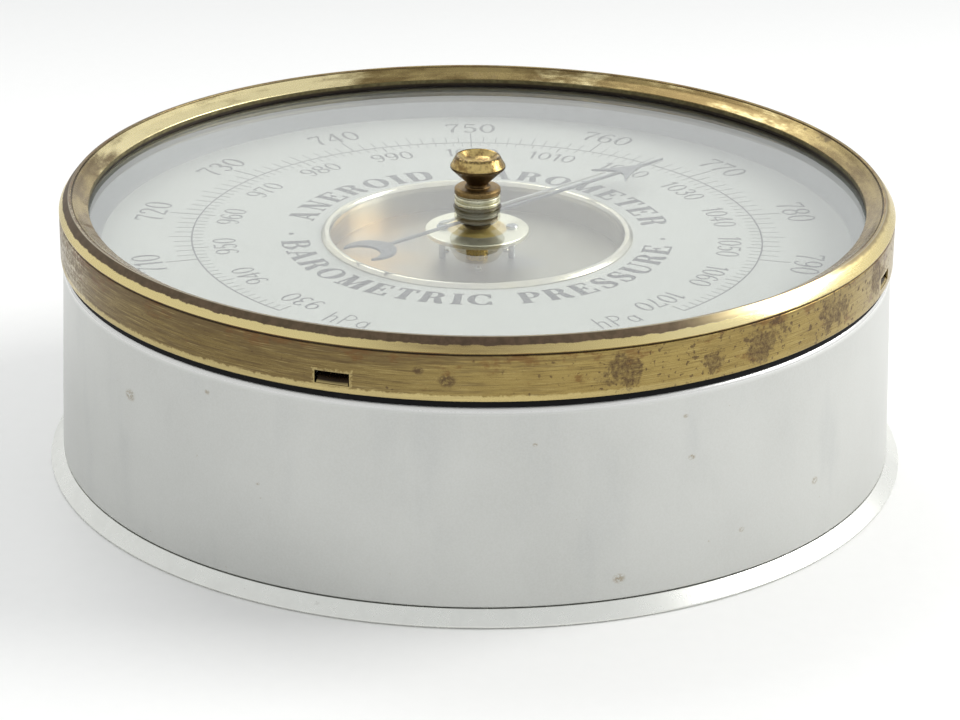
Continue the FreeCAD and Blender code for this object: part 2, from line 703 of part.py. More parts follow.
def sector():
    """Toothed sector with two spokes and a forked tail."""
    axis_degrees = math.degrees(math.atan2(-SECTOR_Y, -SECTOR_X))
    step = 360 / SECTOR_TEETH
    outline = []
    for number in range(SECTOR_CUT_TEETH + 1):
        outline += tooth(SECTOR_TEETH, axis_degrees + (number - SECTOR_CUT_TEETH / 2) * step)
    span = SECTOR_CUT_TEETH / 2 + 0.5
    inner_r = SECTOR_R - 3.4
    low, high = axis_degrees - span * step, axis_degrees + span * step
    outline = [polar(inner_r, low)] + outline
    for share in (1.0, 0.75, 0.5, 0.25):
        outline.append(polar(inner_r, low + (high - low) * share))
    body = plate(outline, SECTOR_LOW, SECTOR_THICK)
    for side in (-1, 1):
        x, y = polar(inner_r + 1.0, axis_degrees + side * (span - 1.2) * step)
        across = (-y * 0.7 / inner_r, x * 0.7 / inner_r)
        spoke = [(across[0], across[1]), (-across[0], -across[1]),
                 (x - across[0], y - across[1]), (x + across[0], y + across[1])]
        body = body.fuse(plate(spoke, SECTOR_LOW, SECTOR_THICK))
    body = body.fuse(rod(SECTOR_HUB_R, SECTOR_LOW, SECTOR_LOW + SECTOR_THICK))
    tail = block(-1.7, 1.7, -TAIL_R - 2.0, 0, SECTOR_LOW, SECTOR_LOW + SECTOR_THICK)
    reach = FINGER_PIN_R + 0.2
    fork = block(-reach, reach, -TAIL_R - 3.0, -TAIL_R + 1.2, -THROUGH, THROUGH)
    body = drilled(body.fuse(tail.cut(fork)), SECTOR_ARBOR_R).removeSplitter()
    body.translate(Vector(SECTOR_X, SECTOR_Y, 0))
    return turned_by(body, SECTOR_X, SECTOR_Y, SECTOR_TURN)


def sector_arbor():
    low = LOWER_PLATE_Z + LOWER_PLATE_THICK
    return turned([(0, low - 1.1), (PIVOT_R, low - 1.1), (PIVOT_R, low + 0.1),
                   (SECTOR_ARBOR_R, low + 0.1), (SECTOR_ARBOR_R, UPPER_PLATE_Z - 0.1),
                   (PIVOT_R, UPPER_PLATE_Z - 0.1), (PIVOT_R, UPPER_PLATE_Z + 1.1),
                   (0, UPPER_PLATE_Z + 1.1)], SECTOR_X, SECTOR_Y)


# ---------------------------------------------------------------- movement plates
def lower_plate():
    """Plate over the rocker, with a window for its finger and two lightening holes."""
    body = rod(PLATE_R, LOWER_PLATE_Z, LOWER_PLATE_Z + LOWER_PLATE_THICK)
    body = drilled(body, ARBOR_PIVOT_R + RUN)
    body = drilled(body, PIVOT_R + RUN, SECTOR_X, SECTOR_Y)
    body = body.cut(block(ROCKER_X - 3.2, ROCKER_X + 3.2, FINGER_Y - 1.8, FINGER_Y + 1.8,
                          -THROUGH, THROUGH))
    for x in (-24, 24):
        body = drilled(body, 9.0, x)
    return spigot_holes(body)


def upper_plate():
    body = drilled(rod(PLATE_R, UPPER_PLATE_Z, COVER_LOW), TUBE_R)
    return spigot_holes(drilled(body, PIVOT_R + RUN, SECTOR_X, SECTOR_Y))


def cover_plate():
    """Polished disc that closes the well in the middle of the dial."""
    return spigot_holes(drilled(rod(COVER_R, COVER_LOW, COVER_TOP), TUBE_R))


def cover_nuts():
    """Round slotted nuts on the pillars' upper spigots."""
    nuts = []
    for degrees in PILLAR_ANGLES:
        x, y = polar(PILLAR_RING_R, degrees)
        nuts.append(turned([(SPIGOT_R, COVER_TOP), (2.9, COVER_TOP), (2.9, NUT_TOP - 0.3),
                            (2.6, NUT_TOP), (SPIGOT_R, NUT_TOP)], x, y))
    return group(nuts)


STEADY_PIN_RING_R = 6.3
STEADY_PIN_ANGLES = [31.3, 151.3, 271.3]


def cock_pins():
    """Small polished steady pins round the bearing tube."""
    pins = []
    for degrees in STEADY_PIN_ANGLES:
        x, y = polar(STEADY_PIN_RING_R, degrees)
        pins.append(turned([(0, COVER_TOP), (0.55, COVER_TOP), (0.55, COVER_TOP + 0.35),
                            (0.4, COVER_TOP + 0.52, 0.1, COVER_TOP + 0.6),
                            (0, COVER_TOP + 0.6)], x, y))
    return group(pins)


def bearing_tube():
    """Fixed tube that guides the pointer's arbor and carries the hub disc."""
    bore = ARBOR_R + RUN
    top = HUB_DISC_TOP - 0.1
    return turned([(bore, UPPER_PLATE_Z), (TUBE_R, UPPER_PLATE_Z), (TUBE_R, HUB_DISC_LOW),
                   (TUBE_TIP_R, HUB_DISC_LOW), (TUBE_TIP_R, top), (bore, top)])


def hub_disc():
    """Polished brass disc in the middle of the well, held by two screws."""
    body = turned([(TUBE_TIP_R, HUB_DISC_LOW), (HUB_DISC_R, HUB_DISC_LOW),
                   (HUB_DISC_R, HUB_DISC_TOP - 0.2),
                   (HUB_DISC_R - 0.06, HUB_DISC_TOP - 0.06, HUB_DISC_R - 0.2, HUB_DISC_TOP),
                   (TUBE_TIP_R, HUB_DISC_TOP)])
    for x in (-HUB_SCREW_X, HUB_SCREW_X):
        body = drilled(body, HUB_SCREW_R, x)
    return body


def hub_screws():
    screws = []
    for x, slot_angle in ((-HUB_SCREW_X, 25.0), (HUB_SCREW_X, 110.0)):
        screws.append(slotted_screw(x, 0, HUB_DISC_TOP, 1.05, 0.55, HUB_SCREW_R,
                                    COVER_TOP + 0.1, slot_angle))
    return group(screws)


# ---------------------------------------------------------------- hairspring and pointer
def collet():
    return tube(1.6, ARBOR_R, 25.8, 27.6)


SPRING_START = 1.85
SPRING_TURNS = 5.0
SPRING_PITCH = 1.1
SPRING_HALF = 0.09
SPRING_LOW = 26.3
SPRING_HIGH = 26.9


def hairspring():
    """Flat spiral from the collet out to its stud."""
    wires = []
    steps = 60
    for side in (-1, 1):
        points = []
        for step in range(steps + 1):
            turn = SPRING_TURNS * step / steps
            radius = SPRING_START + SPRING_PITCH * turn + side * SPRING_HALF
            x, y = polar(radius, turn * 360)
            points.append(Vector(x, y, SPRING_LOW))
        curve = Part.BSplineCurve()
        curve.interpolate(points)
        wires.append(curve.toShape())
    inner, outer = wires
    start = Part.LineSegment(inner.Vertexes[0].Point, outer.Vertexes[0].Point).toShape()
    end = Part.LineSegment(inner.Vertexes[-1].Point, outer.Vertexes[-1].Point).toShape()
    loop = Part.Wire(Part.__sortEdges__([inner, end, outer, start]))
    return Part.Face(loop).extrude(Vector(0, 0, SPRING_HIGH - SPRING_LOW))


def hairspring_stud():
    x = SPRING_START + SPRING_PITCH * SPRING_TURNS + SPRING_HALF + 0.75
    return rod(0.75, LOWER_PLATE_Z + LOWER_PLATE_THICK, 27.8, x, 0)


def pointer_arbor():
    low = LOWER_PLATE_Z + LOWER_PLATE_THICK
    top = POINTER_LOW + POINTER_THICK + 0.15
    return turned([(0, low - 1.2), (ARBOR_PIVOT_R, low - 1.2), (ARBOR_PIVOT_R, low + 0.1),
                   (ARBOR_R, low + 0.1), (ARBOR_R, top - 0.12), (0.35, top), (0, top)])


POINTER_HUB_R = 3.7
POINTER_BOSS_LOW = 40.5
CRESCENT_X = -26.0        # middle of the tail weight
CRESCENT_R = 4.7


def pointer_boss():
    """Cone under the pointer that grips the arbor."""
    return turned([(ARBOR_R, POINTER_BOSS_LOW), (2.2, POINTER_BOSS_LOW),
                   (POINTER_HUB_R, POINTER_LOW - 0.25), (POINTER_HUB_R, POINTER_LOW),
                   (ARBOR_R, POINTER_LOW)])


def pointer():
    """Blued hand: swept arrow head, fine tip, and a crescent on its tail."""
    top = POINTER_LOW + POINTER_THICK
    arm_half, tip_half = 0.3, 0.14
    start = CRESCENT_X + 3.0
    arm = plate([(start, arm_half), (41.0, arm_half), (POINTER_TIP_R, tip_half),
                 (POINTER_TIP_R, -tip_half), (41.0, -arm_half), (start, -arm_half)],
                POINTER_LOW, POINTER_THICK)
    head = []
    for side in (1, -1):
        head.append(plate([(43.0, side * 0.25), (40.2, side * 0.95), (37.2, side * 2.35),
                           (33.8, side * 4.4), (35.9, side * 2.1), (36.6, side * 1.1),
                           (36.9, 0)], POINTER_LOW, POINTER_THICK))
    crescent = rod(CRESCENT_R, POINTER_LOW, top, CRESCENT_X, 0)
    crescent = drilled(crescent, CRESCENT_R - 1.0, CRESCENT_X - 2.4)
    hub = rod(POINTER_HUB_R, POINTER_LOW, top)
    hand = drilled(arm.fuse(head + [crescent, hub]), ARBOR_R)
    return turned_by(hand.removeSplitter(), 0, 0, 90 - READING_AZIMUTH)


# ---------------------------------------------------------------- build
def main():
    os.makedirs("parts", exist_ok=True)
    lower_plate_top = LOWER_PLATE_Z + LOWER_PLATE_THICK
    joint = LOWER_PLATE_Z + 0.7       # where the two pillars' spigots meet
    pieces = {
        "base_ring": screw_clearance(base_ring(), BACK_SCREW_HOLE_R),
        "back_plate": back_plate(),
        "back_screws": back_screws(),
        "case_shell": case_shell(),
        "mounting_ring": mounting_ring(),
        "case_gasket": case_gasket(),
        "dial_seat": dial_seat(),
        "bezel": bezel(),
        "dial": dial(),
        "dial_rim": dial_rim(),
        "rehaut": rehaut(),
        "glass_gasket": glass_gasket(),
        "glass": glass(),
        "knob_bush": knob_bush(),
        "bush_nut": bush_nut(),
        "knob_washer": knob_washer(),
        "set_knob": set_knob(),
        "set_shaft": set_shaft(),
        "set_hand_boss": set_hand_boss(),
        "set_hand": set_hand(),
        "chassis": chassis(),
        "chassis_pillars": pillars(CHASSIS_TOP, LOWER_PLATE_Z, CHASSIS_LOW, joint),
        "plate_pillars": pillars(lower_plate_top, UPPER_PLATE_Z, joint + 0.05, NUT_TOP),
        "adjuster_bush": adjuster_bush(),
        "adjusting_screw": adjusting_screw(),
        "capsule_post": capsule_post(),
        "capsule_stack": capsule_stack(),
        "capsule_head": capsule_head(),
        "head_pin": head_pin(),
        "rocker_shaft": rocker_shaft(),
        "rocker_arm": rocker_arm(),
        "bimetal_finger": bimetal_finger(),
        "finger_pin": finger_pin(),
        "rocker_bearings": rocker_bearings(),
        "pinion": pinion(),
        "sector": sector(),
        "sector_arbor": sector_arbor(),
        "lower_plate": lower_plate(),
        "upper_plate": upper_plate(),
        "cover_plate": cover_plate(),
        "cover_nuts": cover_nuts(),
        "cock_pins": cock_pins(),
        "bearing_tube": bearing_tube(),
        "hub_disc": hub_disc(),
        "hub_screws": hub_screws(),
        "hairspring_collet": collet(),
        "hairspring": hairspring(),
        "hairspring_stud": hairspring_stud(),
        "pointer_arbor": pointer_arbor(),
        "pointer_boss": pointer_boss(),
        "pointer": pointer(),
    }
    for name, shape in pieces.items():
        save(name, shape)


main()
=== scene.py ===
"""Looks of the aneroid barometer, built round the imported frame.

Measures in the tables below are millimetres; MM turns them into the frame's metres.
Angles on the dial are clockwise from twelve o'clock, all others run by the right-hand rule.
"""
import json
import math

import bmesh
import bpy
from mathutils import Matrix, Vector, noise


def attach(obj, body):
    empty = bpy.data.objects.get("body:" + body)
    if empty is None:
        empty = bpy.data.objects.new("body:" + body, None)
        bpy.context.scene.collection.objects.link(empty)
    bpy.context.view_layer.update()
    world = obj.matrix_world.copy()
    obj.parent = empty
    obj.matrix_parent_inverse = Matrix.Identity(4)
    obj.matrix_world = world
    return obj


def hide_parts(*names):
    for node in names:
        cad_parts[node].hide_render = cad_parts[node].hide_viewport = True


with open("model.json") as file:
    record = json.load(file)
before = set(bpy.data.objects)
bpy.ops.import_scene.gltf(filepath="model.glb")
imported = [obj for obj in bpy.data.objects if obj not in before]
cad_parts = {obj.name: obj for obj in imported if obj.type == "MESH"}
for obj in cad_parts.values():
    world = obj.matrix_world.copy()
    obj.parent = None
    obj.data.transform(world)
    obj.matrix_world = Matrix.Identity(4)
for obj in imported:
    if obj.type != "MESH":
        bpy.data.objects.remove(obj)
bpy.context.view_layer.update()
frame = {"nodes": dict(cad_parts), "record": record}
MM = 0.001

# ---- driving sizes, as in the design
BEZEL_R = 75.0
BEZEL_INNER = 74.1
BEZEL_BOTTOM = 39.2
CORNER_Z = 47.62
RIDGE_R = 73.2
RIDGE_Z = 50.0
LIP_R = 69.78
LIP_Z = 48.14
WINDOW_ANGLES = (70.4, 160.4, 250.4, 340.4)
WINDOW_HALF = 3.0
WINDOW_LOW = 40.5
WINDOW_HIGH = 42.7
CASE_TOP_R = 74.57
CASE_TOP_Z = 37.94
CASE_FOOT_R = 75.77
CASE_FOOT_Z = 2.75
WALL_R = 75.1             # about the middle of the case's wall
SHEET = 0.8
NECK_R = 73.9
NECK_INNER = NECK_R - SHEET
NECK_TOP = 46.2
DIAL_TOP = 39.0
GLASS_TOP = 46.8
GLASS_BOTTOM = 44.3


# ---- meshes
def mesh_object(name, verts, faces, material, sharp=34.0):
    """Object from points in millimetres, smooth except at edges sharper than the limit."""
    mesh = bpy.data.meshes.new(name)
    mesh.from_pydata([tuple(c * MM for c in v) for v in verts], [], faces)
    mesh.update()
    work = bmesh.new()
    work.from_mesh(mesh)
    bmesh.ops.recalc_face_normals(work, faces=work.faces)
    work.to_mesh(mesh)
    work.free()
    mesh.polygons.foreach_set("use_smooth", [True] * len(mesh.polygons))
    mesh.set_sharp_from_angle(angle=math.radians(sharp))
    mesh.materials.append(material)
    piece = bpy.data.objects.new(name, mesh)
    bpy.context.scene.collection.objects.link(piece)
    piece.modifiers.new("flat_faces_stay_flat", "WEIGHTED_NORMAL").keep_sharp = True
    return piece


def outline(corners, steps):
    """Closed section of r, z corners; a third number rounds that corner to its radius."""
    points = []
    for i, corner in enumerate(corners):
        here = Vector(corner[:2])
        if len(corner) == 2:
            points.append(here)
            continue
        back = Vector(corners[i - 1][:2]) - here
        ahead = Vector(corners[(i + 1) % len(corners)][:2]) - here
        half = back.angle(ahead) / 2
        reach = min(corner[2] / math.tan(half), 0.48 * back.length, 0.48 * ahead.length)
        radius = reach * math.tan(half)
        bisector = (back.normalized() + ahead.normalized()).normalized()
        centre = here + bisector * (radius / math.sin(half))
        start = here + back.normalized() * reach - centre
        end = here + ahead.normalized() * reach - centre
        sweep = start.angle(end)
        for k in range(steps + 1 if sweep > 1e-6 else 0):
            t = k / steps
            spoke = start * math.sin((1 - t) * sweep) + end * math.sin(t * sweep)
            points.append(centre + spoke / math.sin(sweep))
    return points


def column_angles(count, windows):
    """Even angles round the axis, with the window edges among them."""
    if not windows:
        return [2 * math.pi * k / count for k in range(count)], []
    radius, half = windows
    reach = math.degrees(math.asin(half / radius))
    angles, spans = [], []
    inside = max(4, round(count * reach / 180))
    between = round(count / 4) - inside
    for middle in WINDOW_ANGLES:
        spans.append((len(angles), inside))
        for start, gap, steps in ((middle - reach, 2 * reach, inside),
                                  (middle + reach, 90 - 2 * reach, between)):
            angles += [math.radians(start + gap * k / steps) for k in range(steps)]
    return angles, spans


def lathe(name, corners, material, columns, warp=None, windows=None, steps=5):
    """Turned piece. Windows, as (radius, half width), are cut through both walls of the section."""
    section = outline(corners, steps)
    angles, spans = column_angles(columns, windows)
    verts, rows = [], []
    for point in section:
        if point.x < 1e-6:
            rows.append([len(verts)] * len(angles))
            verts.append((0.0, 0.0, point.y))
            continue
        rows.append(range(len(verts), len(verts) + len(angles)))
        for angle in angles:
            r, z = warp(angle, point.x, point.y) if warp else (point.x, point.y)
            verts.append((r * math.cos(angle), r * math.sin(angle), z))
    heights = [round(point.y, 3) for point in section]
    cut_rows = [i for i, pair in enumerate(zip(heights, heights[1:] + heights[:1]))
                if windows and set(pair) == {WINDOW_LOW, WINDOW_HIGH}]
    faces = []
    for i, row in enumerate(rows):
        after = rows[(i + 1) % len(rows)]
        for j in range(len(angles)):
            k = (j + 1) % len(angles)
            if i in cut_rows and any(first <= j < first + inside for first, inside in spans):
                continue
            corner = [row[j], row[k], after[k], after[j]]
            unique = [c for n, c in enumerate(corner) if c not in corner[:n]]
            if len(unique) > 2:
                faces.append(unique)
    if len(cut_rows) == 2:
        outer, inner = cut_rows
        pairs = ((rows[outer], rows[(inner + 1) % len(rows)]),
                 (rows[(outer + 1) % len(rows)], rows[inner]))
        for first, inside in spans:
            for wall, back in pairs:
                for j in range(first, first + inside):
                    faces.append([wall[j], wall[j + 1], back[j + 1], back[j]])
            for j in (first, first + inside):
                faces.append([pairs[0][0][j], pairs[1][0][j], pairs[1][1][j], pairs[0][1][j]])
    return mesh_object(name, verts, faces, material)


def soften(piece, width):
    """Small bevel on the sharp edges of a piece."""
    modifier = piece.modifiers.new("edge", "BEVEL")
    modifier.width = width * MM
    modifier.segments = 2
    modifier.limit_method = "ANGLE"
    modifier.angle_limit = math.radians(35)
    return piece


def stand_for(piece, body, slot, *nodes):
    """Makes a piece ride on its body, in place of the nodes named; the slot is not used."""
    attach(piece, body)
    if nodes:
        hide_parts(*nodes)


# ---- shader arithmetic
def linear(colour):
    """Linear colour of an 8-bit sRGB colour."""
    shares = [value / 255 for value in colour]
    return (*(v / 12.92 if v <= 0.04045 else ((v + 0.055) / 1.055) ** 2.4 for v in shares), 1.0)


def operator(name, swapped=False):
    """Arithmetic between a field and a field or number."""
    def act(self, other):
        return self.graph.math(name, *((other, self) if swapped else (self, other)))
    return act


class Field:
    """A value that varies over the surface and takes part in arithmetic."""

    def __init__(self, graph, socket):
        self.graph = graph
        self.socket = socket

    __add__ = __radd__ = operator("ADD")
    __mul__ = __rmul__ = operator("MULTIPLY")
    __sub__ = operator("SUBTRACT")
    __rsub__ = operator("SUBTRACT", swapped=True)
    __or__ = operator("MAXIMUM")
    __and__ = operator("MINIMUM")


class Graph:
    """Adds nodes to a node tree."""

    def __init__(self, tree):
        self.tree = tree

    def put(self, socket, value):
        """Links a field to a socket, or sets the socket to a fixed value."""
        if isinstance(value, Field):
            self.tree.links.new(value.socket, socket)
        else:
            socket.default_value = value

    def node(self, kind, *first, output=0, named=None, **settings):
        """Output of a new node, given its first inputs in order, and others by name or number."""
        node = self.tree.nodes.new("ShaderNode" + kind)
        for name, value in settings.items():
            setattr(node, name, value)
        for key, value in [*enumerate(first), *(named or {}).items()]:
            self.put(node.inputs[key], value)
        return Field(self, node.outputs[output])

    def math(self, operation, *values):
        return self.node("Math", *values, operation=operation)

    def smooth(self, value, low, high):
        """0 below low, 1 above high, smooth between; falls instead when low is above high."""
        falling = low > high
        bounds = (high, low, 1.0, 0.0) if falling else (low, high, 0.0, 1.0)
        return self.node("MapRange", value, *bounds, interpolation_type="SMOOTHSTEP")


class Shade(Graph):
    """Builds one material. Places are in millimetres in the frame."""

    def __init__(self, name):
        self.material = bpy.data.materials.new(name)
        self.material.use_nodes = True
        super().__init__(self.material.node_tree)
        self.tree.nodes.clear()
        self.output = self.tree.nodes.new("ShaderNodeOutputMaterial")
        place = self.node("TexCoord", output="Object")
        self.place = self.node("VectorMath", place, operation="SCALE", named={"Scale": 1 / MM})
        split = self.node("SeparateXYZ", self.place).socket.node
        self.x, self.y, self.z = (Field(self, socket) for socket in split.outputs)
        self.radius = self.math("SQRT", self.x * self.x + self.y * self.y)
        self.turn = self.math("ARCTAN2", self.y, self.x)

    def stretched(self, along, across):
        """Coordinates of a turned surface, scaled apart round the axis and across the profile."""
        profile = self.z + self.radius * 0.37
        return self.node("CombineXYZ", self.x * along, self.y * along, profile * across)

    def facing(self, degrees, outer, inner):
        """1 within the inner angle of a direction round the axis, 0 beyond the outer one."""
        cosine = self.math("COSINE", self.turn - math.radians(degrees))
        return self.smooth(cosine, math.cos(math.radians(outer)), math.cos(math.radians(inner)))

    def noise(self, size, detail=3.0, rough=0.5, place=None, shift=0.0, distort=0.0):
        """Noise of about 0.5 on average whose features are size millimetres wide."""
        inputs = {"Vector": place or self.place, "W": shift, "Scale": 1 / size, "Detail": detail,
                  "Roughness": rough, "Distortion": distort}
        return self.node("TexNoise", output="Fac", named=inputs, noise_dimensions="4D")

    def mix(self, amount, first, second):
        """Colour between two, each a field or an 8-bit sRGB colour."""
        inputs = {6: first, 7: second}
        inputs = {key: linear(c) if isinstance(c, tuple) else c for key, c in inputs.items()}
        return self.node("Mix", amount, output=2, named=inputs, data_type="RGBA")

    def fade(self, value, low, high, first, second):
        """First colour where value is low, second where it is high."""
        return self.mix(self.smooth(value, low, high), first, second)

    def layers(self, colour, *coats):
        """Colour under coats, each an amount and a colour."""
        for amount, coat in coats:
            colour = self.mix(amount, colour, coat)
        return colour

    def blend(self, amount, first, second):
        """Number between first and second."""
        return first + amount * (second - first)

    def beside(self, degrees, radius):
        """Square of the distance, seen along the axis, from a place on a turned wall."""
        dx = self.x - radius * math.cos(math.radians(degrees))
        dy = self.y - radius * math.sin(math.radians(degrees))
        return dx * dx + dy * dy

    def spots(self, radius, ragged, *places):
        """1 in ragged spots on a turned wall, each at its degrees and height and of its size."""
        inside = 0.0
        for degrees, height, size in places:
            dz = (self.z - height) * 1.35
            away = self.math("SQRT", self.beside(degrees, radius) + dz * dz)
            inside = self.smooth(away + (ragged - 0.5) * size * 1.6, size, size * 0.55) | inside
        return inside

    def window_edge(self, degrees):
        """Distance in millimetres from the outline of a window in the bezel's wall."""
        along = self.math("SQRT", self.beside(degrees, BEZEL_R)) - WINDOW_HALF
        up = self.math("ABSOLUTE", self.z - (WINDOW_LOW + WINDOW_HIGH) / 2)
        return along | up - (WINDOW_HIGH - WINDOW_LOW) / 2

    def surface(self, shader):
        self.put(self.output.inputs["Surface"], shader)
        return self.material

    def finish(self, colour, roughness, relief=None, depth=0.0, **sockets):
        """Principled shader with a relief that rises by depth millimetres over its unit.

        Underscores in the names of other sockets stand for spaces.
        """
        inputs = {name.replace("_", " "): value for name, value in sockets.items()}
        inputs.update({"Base Color": colour, "Roughness": roughness})
        if relief:
            bump = {"Distance": depth * MM, "Height": relief}
            inputs["Normal"] = self.node("Bump", named=bump)
        return self.surface(self.node("BsdfPrincipled", named=inputs))


# ---- materials
MATERIALS = {}
# colour of the painted highlights and reflections on the bezel's bevels
PAINTED_HIGHLIGHT_BRASS = (236, 222, 172)
BRIGHT_BRASS = (226, 208, 148)
GOLD = (160, 140, 86)
OLIVE = (122, 105, 68)
BROWN = (98, 80, 54)
TARNISH = (92, 74, 60)
DARK_TARNISH = (50, 41, 33)
RINGS = 26.0              # radians of a turned ring pattern in a millimetre


def material(build):
    """Builds a material under the name of the function that describes it."""
    MATERIALS[build.__name__] = build(Shade(build.__name__))
    return build


@material
def bezel_brass(s):
    """Old brass: tarnished upper edge, scratched olive wall, worn bright lines."""
    ragged = s.noise(1.1, 5, 0.7)
    coarse = s.noise(14, 3, 0.55)
    grit = s.noise(0.5, 3, 0.7, shift=2)
    streaks = s.noise(1.0, 4, 0.7, place=s.stretched(0.1, 2.2))
    hairs = s.noise(1.0, 3, 0.7, place=s.stretched(0.16, 6.0), shift=4)
    left = s.facing(-160, 82, 40)
    right = s.facing(-35, 62, 22)
    # wall: olive brown on the left, gold in front, speckled gold on the right
    on_wall = s.smooth(s.z, CORNER_Z + 0.02, CORNER_Z - 0.1) * s.smooth(s.radius, 74.4, 74.7)
    up_wall = s.smooth(s.z, 43.2, 47.3)
    dull = s.smooth(streaks + up_wall * 0.14 + left * 0.08, 0.52, 0.72) * s.blend(right, 0.85, 0.3)
    rusty = s.smooth(s.noise(3.2, 4, 0.7, place=s.stretched(0.6, 1.0), shift=17) + up_wall * 0.1, 0.57, 0.7)
    nicks = s.facing(-166, 13, 5) * s.smooth(s.noise(0.7, 4, 0.7, shift=13), 0.5, 0.58)
    # mottled blotches on the right, harder ones in front, pits everywhere
    cloud = s.noise(4.0, 5, 0.7, shift=7) * 2.2 - 0.6
    speckle = s.noise(0.6, 3, 0.75, shift=8)
    blotches = s.spots(BEZEL_R, cloud, (-73, 43.4, 4.6), (-60.6, 42.6, 3.4), (-51.7, 43.8, 5.4),
                       (-37.6, 44.2, 5.6), (-25, 44.0, 5.4))
    blotches = blotches * 0.22 + s.smooth(blotches * 0.75 + speckle * 1.4, 1.15, 1.7)
    scars = s.spots(BEZEL_R, speckle, (-95, 42.8, 1.9), (-98.6, 44.4, 1.2)) * s.smooth(speckle, 0.38, 0.55)
    pits = s.smooth(s.noise(0.9, 3, 0.6, shift=11) + right * 0.09, 0.66, 0.73)
    marks = (blotches * 0.75 | scars * 0.8 | pits * 0.75) * on_wall
    # worn bright line along the bottom edge and a thin one round each window
    worn = s.smooth(s.z + (ragged - 0.5) * 1.6, 40.45, 40.05) * (0.1 + s.facing(-122, 62, 30) * 0.4)
    for degrees in WINDOW_ANGLES:
        worn = worn | s.smooth(s.window_edge(degrees) + (speckle - 0.5) * 2.4, 0.5, 0.1) * 0.32
    wall = s.layers(s.fade(coarse, 0.35, 0.7, GOLD, (148, 128, 78)), (left, OLIVE), (dull * 0.8, BROWN),
                    (rusty * 0.7, (114, 82, 50)), (s.smooth(hairs, 0.53, 0.7) * 0.5, (190, 172, 118)),
                    (s.smooth(hairs, 0.47, 0.34) * 0.55, (84, 66, 44)), (nicks * 0.7, (196, 186, 160)),
                    (marks, (84, 64, 46)), (worn, BRIGHT_BRASS))
    # outer bevel: bright lower band, ragged tarnished upper band, and a painted highlight on the front
    # right
    on_bevel = s.smooth(s.z, CORNER_Z, CORNER_Z + 0.08) * s.smooth(s.radius, RIDGE_R - 0.1, RIDGE_R + 0.1)
    chipped = s.noise(2.0, 5, 0.62, shift=19)
    rise = (s.z - CORNER_Z) * (1 / (RIDGE_Z - CORNER_Z)) + (chipped - 0.5) * 0.34
    fresh = s.facing(-176, 86, 62)
    bright = s.mix(s.smooth(hairs, 0.5, 0.8) * 0.35, BRIGHT_BRASS, (196, 178, 118))
    tarnished = s.facing(-145, 100, 78)
    # painted highlight: paler colour and no tarnish band where the window light reflects on the front right
    # of the bevel
    painted_highlight = s.facing(-52, 20, 9)
    band = s.smooth(rise, 0.46, 0.53) * tarnished | s.smooth(rise, 0.6, 0.9) * s.blend(painted_highlight, 0.8, 0.1)
    skin = s.fade(s.noise(1.6, 4, 0.7, shift=5), 0.35, 0.65, TARNISH, (72, 58, 46))
    bevel = s.layers(s.fade(streaks, 0.4, 0.7, (166, 146, 98), (132, 112, 78)),
                     (fresh | right, bright), (painted_highlight * 0.6, PAINTED_HIGHLIGHT_BRASS), (band * 0.95, skin),
                     # painted highlight: a pale line along the ridge's top on the front half
                     (s.smooth(s.z, 49.88, 49.97) * s.smooth(s.y, 20, -20) * 0.7, (176, 170, 150)))
    # inner bevel: dull gold, pale at the back with painted reflection streaks
    on_slope = s.smooth(s.radius, RIDGE_R - 0.3, RIDGE_R - 0.6) * s.smooth(s.z, 47.9, 48.0)
    sweep = s.noise(5, 4, 0.65, place=s.stretched(0.5, 2.0), shift=3)
    painted_reflection_streaks = s.facing(138, 44, 12) * 0.9 | s.facing(74, 10, 3) * 0.55 | s.facing(45, 24, 8) * 0.45
    painted_reflection_streaks = s.smooth(painted_reflection_streaks * 0.6 + sweep, 0.72, 1.04)
    smudge = s.smooth(s.noise(7, 5, 0.65, shift=6), 0.58, 0.68)
    slope = s.layers(s.fade(sweep, 0.38, 0.62, (118, 100, 64), (156, 138, 92)), (painted_reflection_streaks, PAINTED_HIGHLIGHT_BRASS),
                     (smudge * 0.55, TARNISH))
    # grooves, the lip over the glass, and the hidden inside
    crease = s.smooth(s.radius, 72.5, 72.6) * s.smooth(s.radius, 72.85, 72.75) * s.smooth(s.z, 49.3, 49.4)
    lip = s.smooth(s.z, LIP_Z + 0.02, LIP_Z - 0.18) * s.smooth(s.radius, 71.0, 70.6)
    groove = s.smooth(s.z, 47.18, 47.24) * s.smooth(s.z, 47.46, 47.4) * s.smooth(s.radius, 74.3, 74.5)
    dull_lip = s.fade(ragged, 0.35, 0.65, (92, 84, 56), (122, 113, 78))
    inside = s.smooth(s.radius, 74.85, 74.5) * s.smooth(s.z, 47.5, 47.2)
    colour = s.layers(wall, (on_bevel, bevel), (on_slope, slope),
                      (crease * 0.6 | groove * 0.95, DARK_TARNISH), (lip, dull_lip),
                      (inside, DARK_TARNISH))
    matt = (marks | dull * on_wall * 0.7 | band * on_bevel | lip | smudge * on_slope) & 1.0
    rough = s.blend(matt, 0.27, 0.56) + (grit - 0.5) * 0.14 + (hairs - 0.5) * 0.12 - painted_highlight * on_bevel * 0.08
    relief = streaks * 0.5 + hairs * 0.35 + grit * 0.2 - marks * 0.7
    return s.finish(colour, rough, relief, 0.025, Metallic=s.blend(matt, 1.0, 0.7))


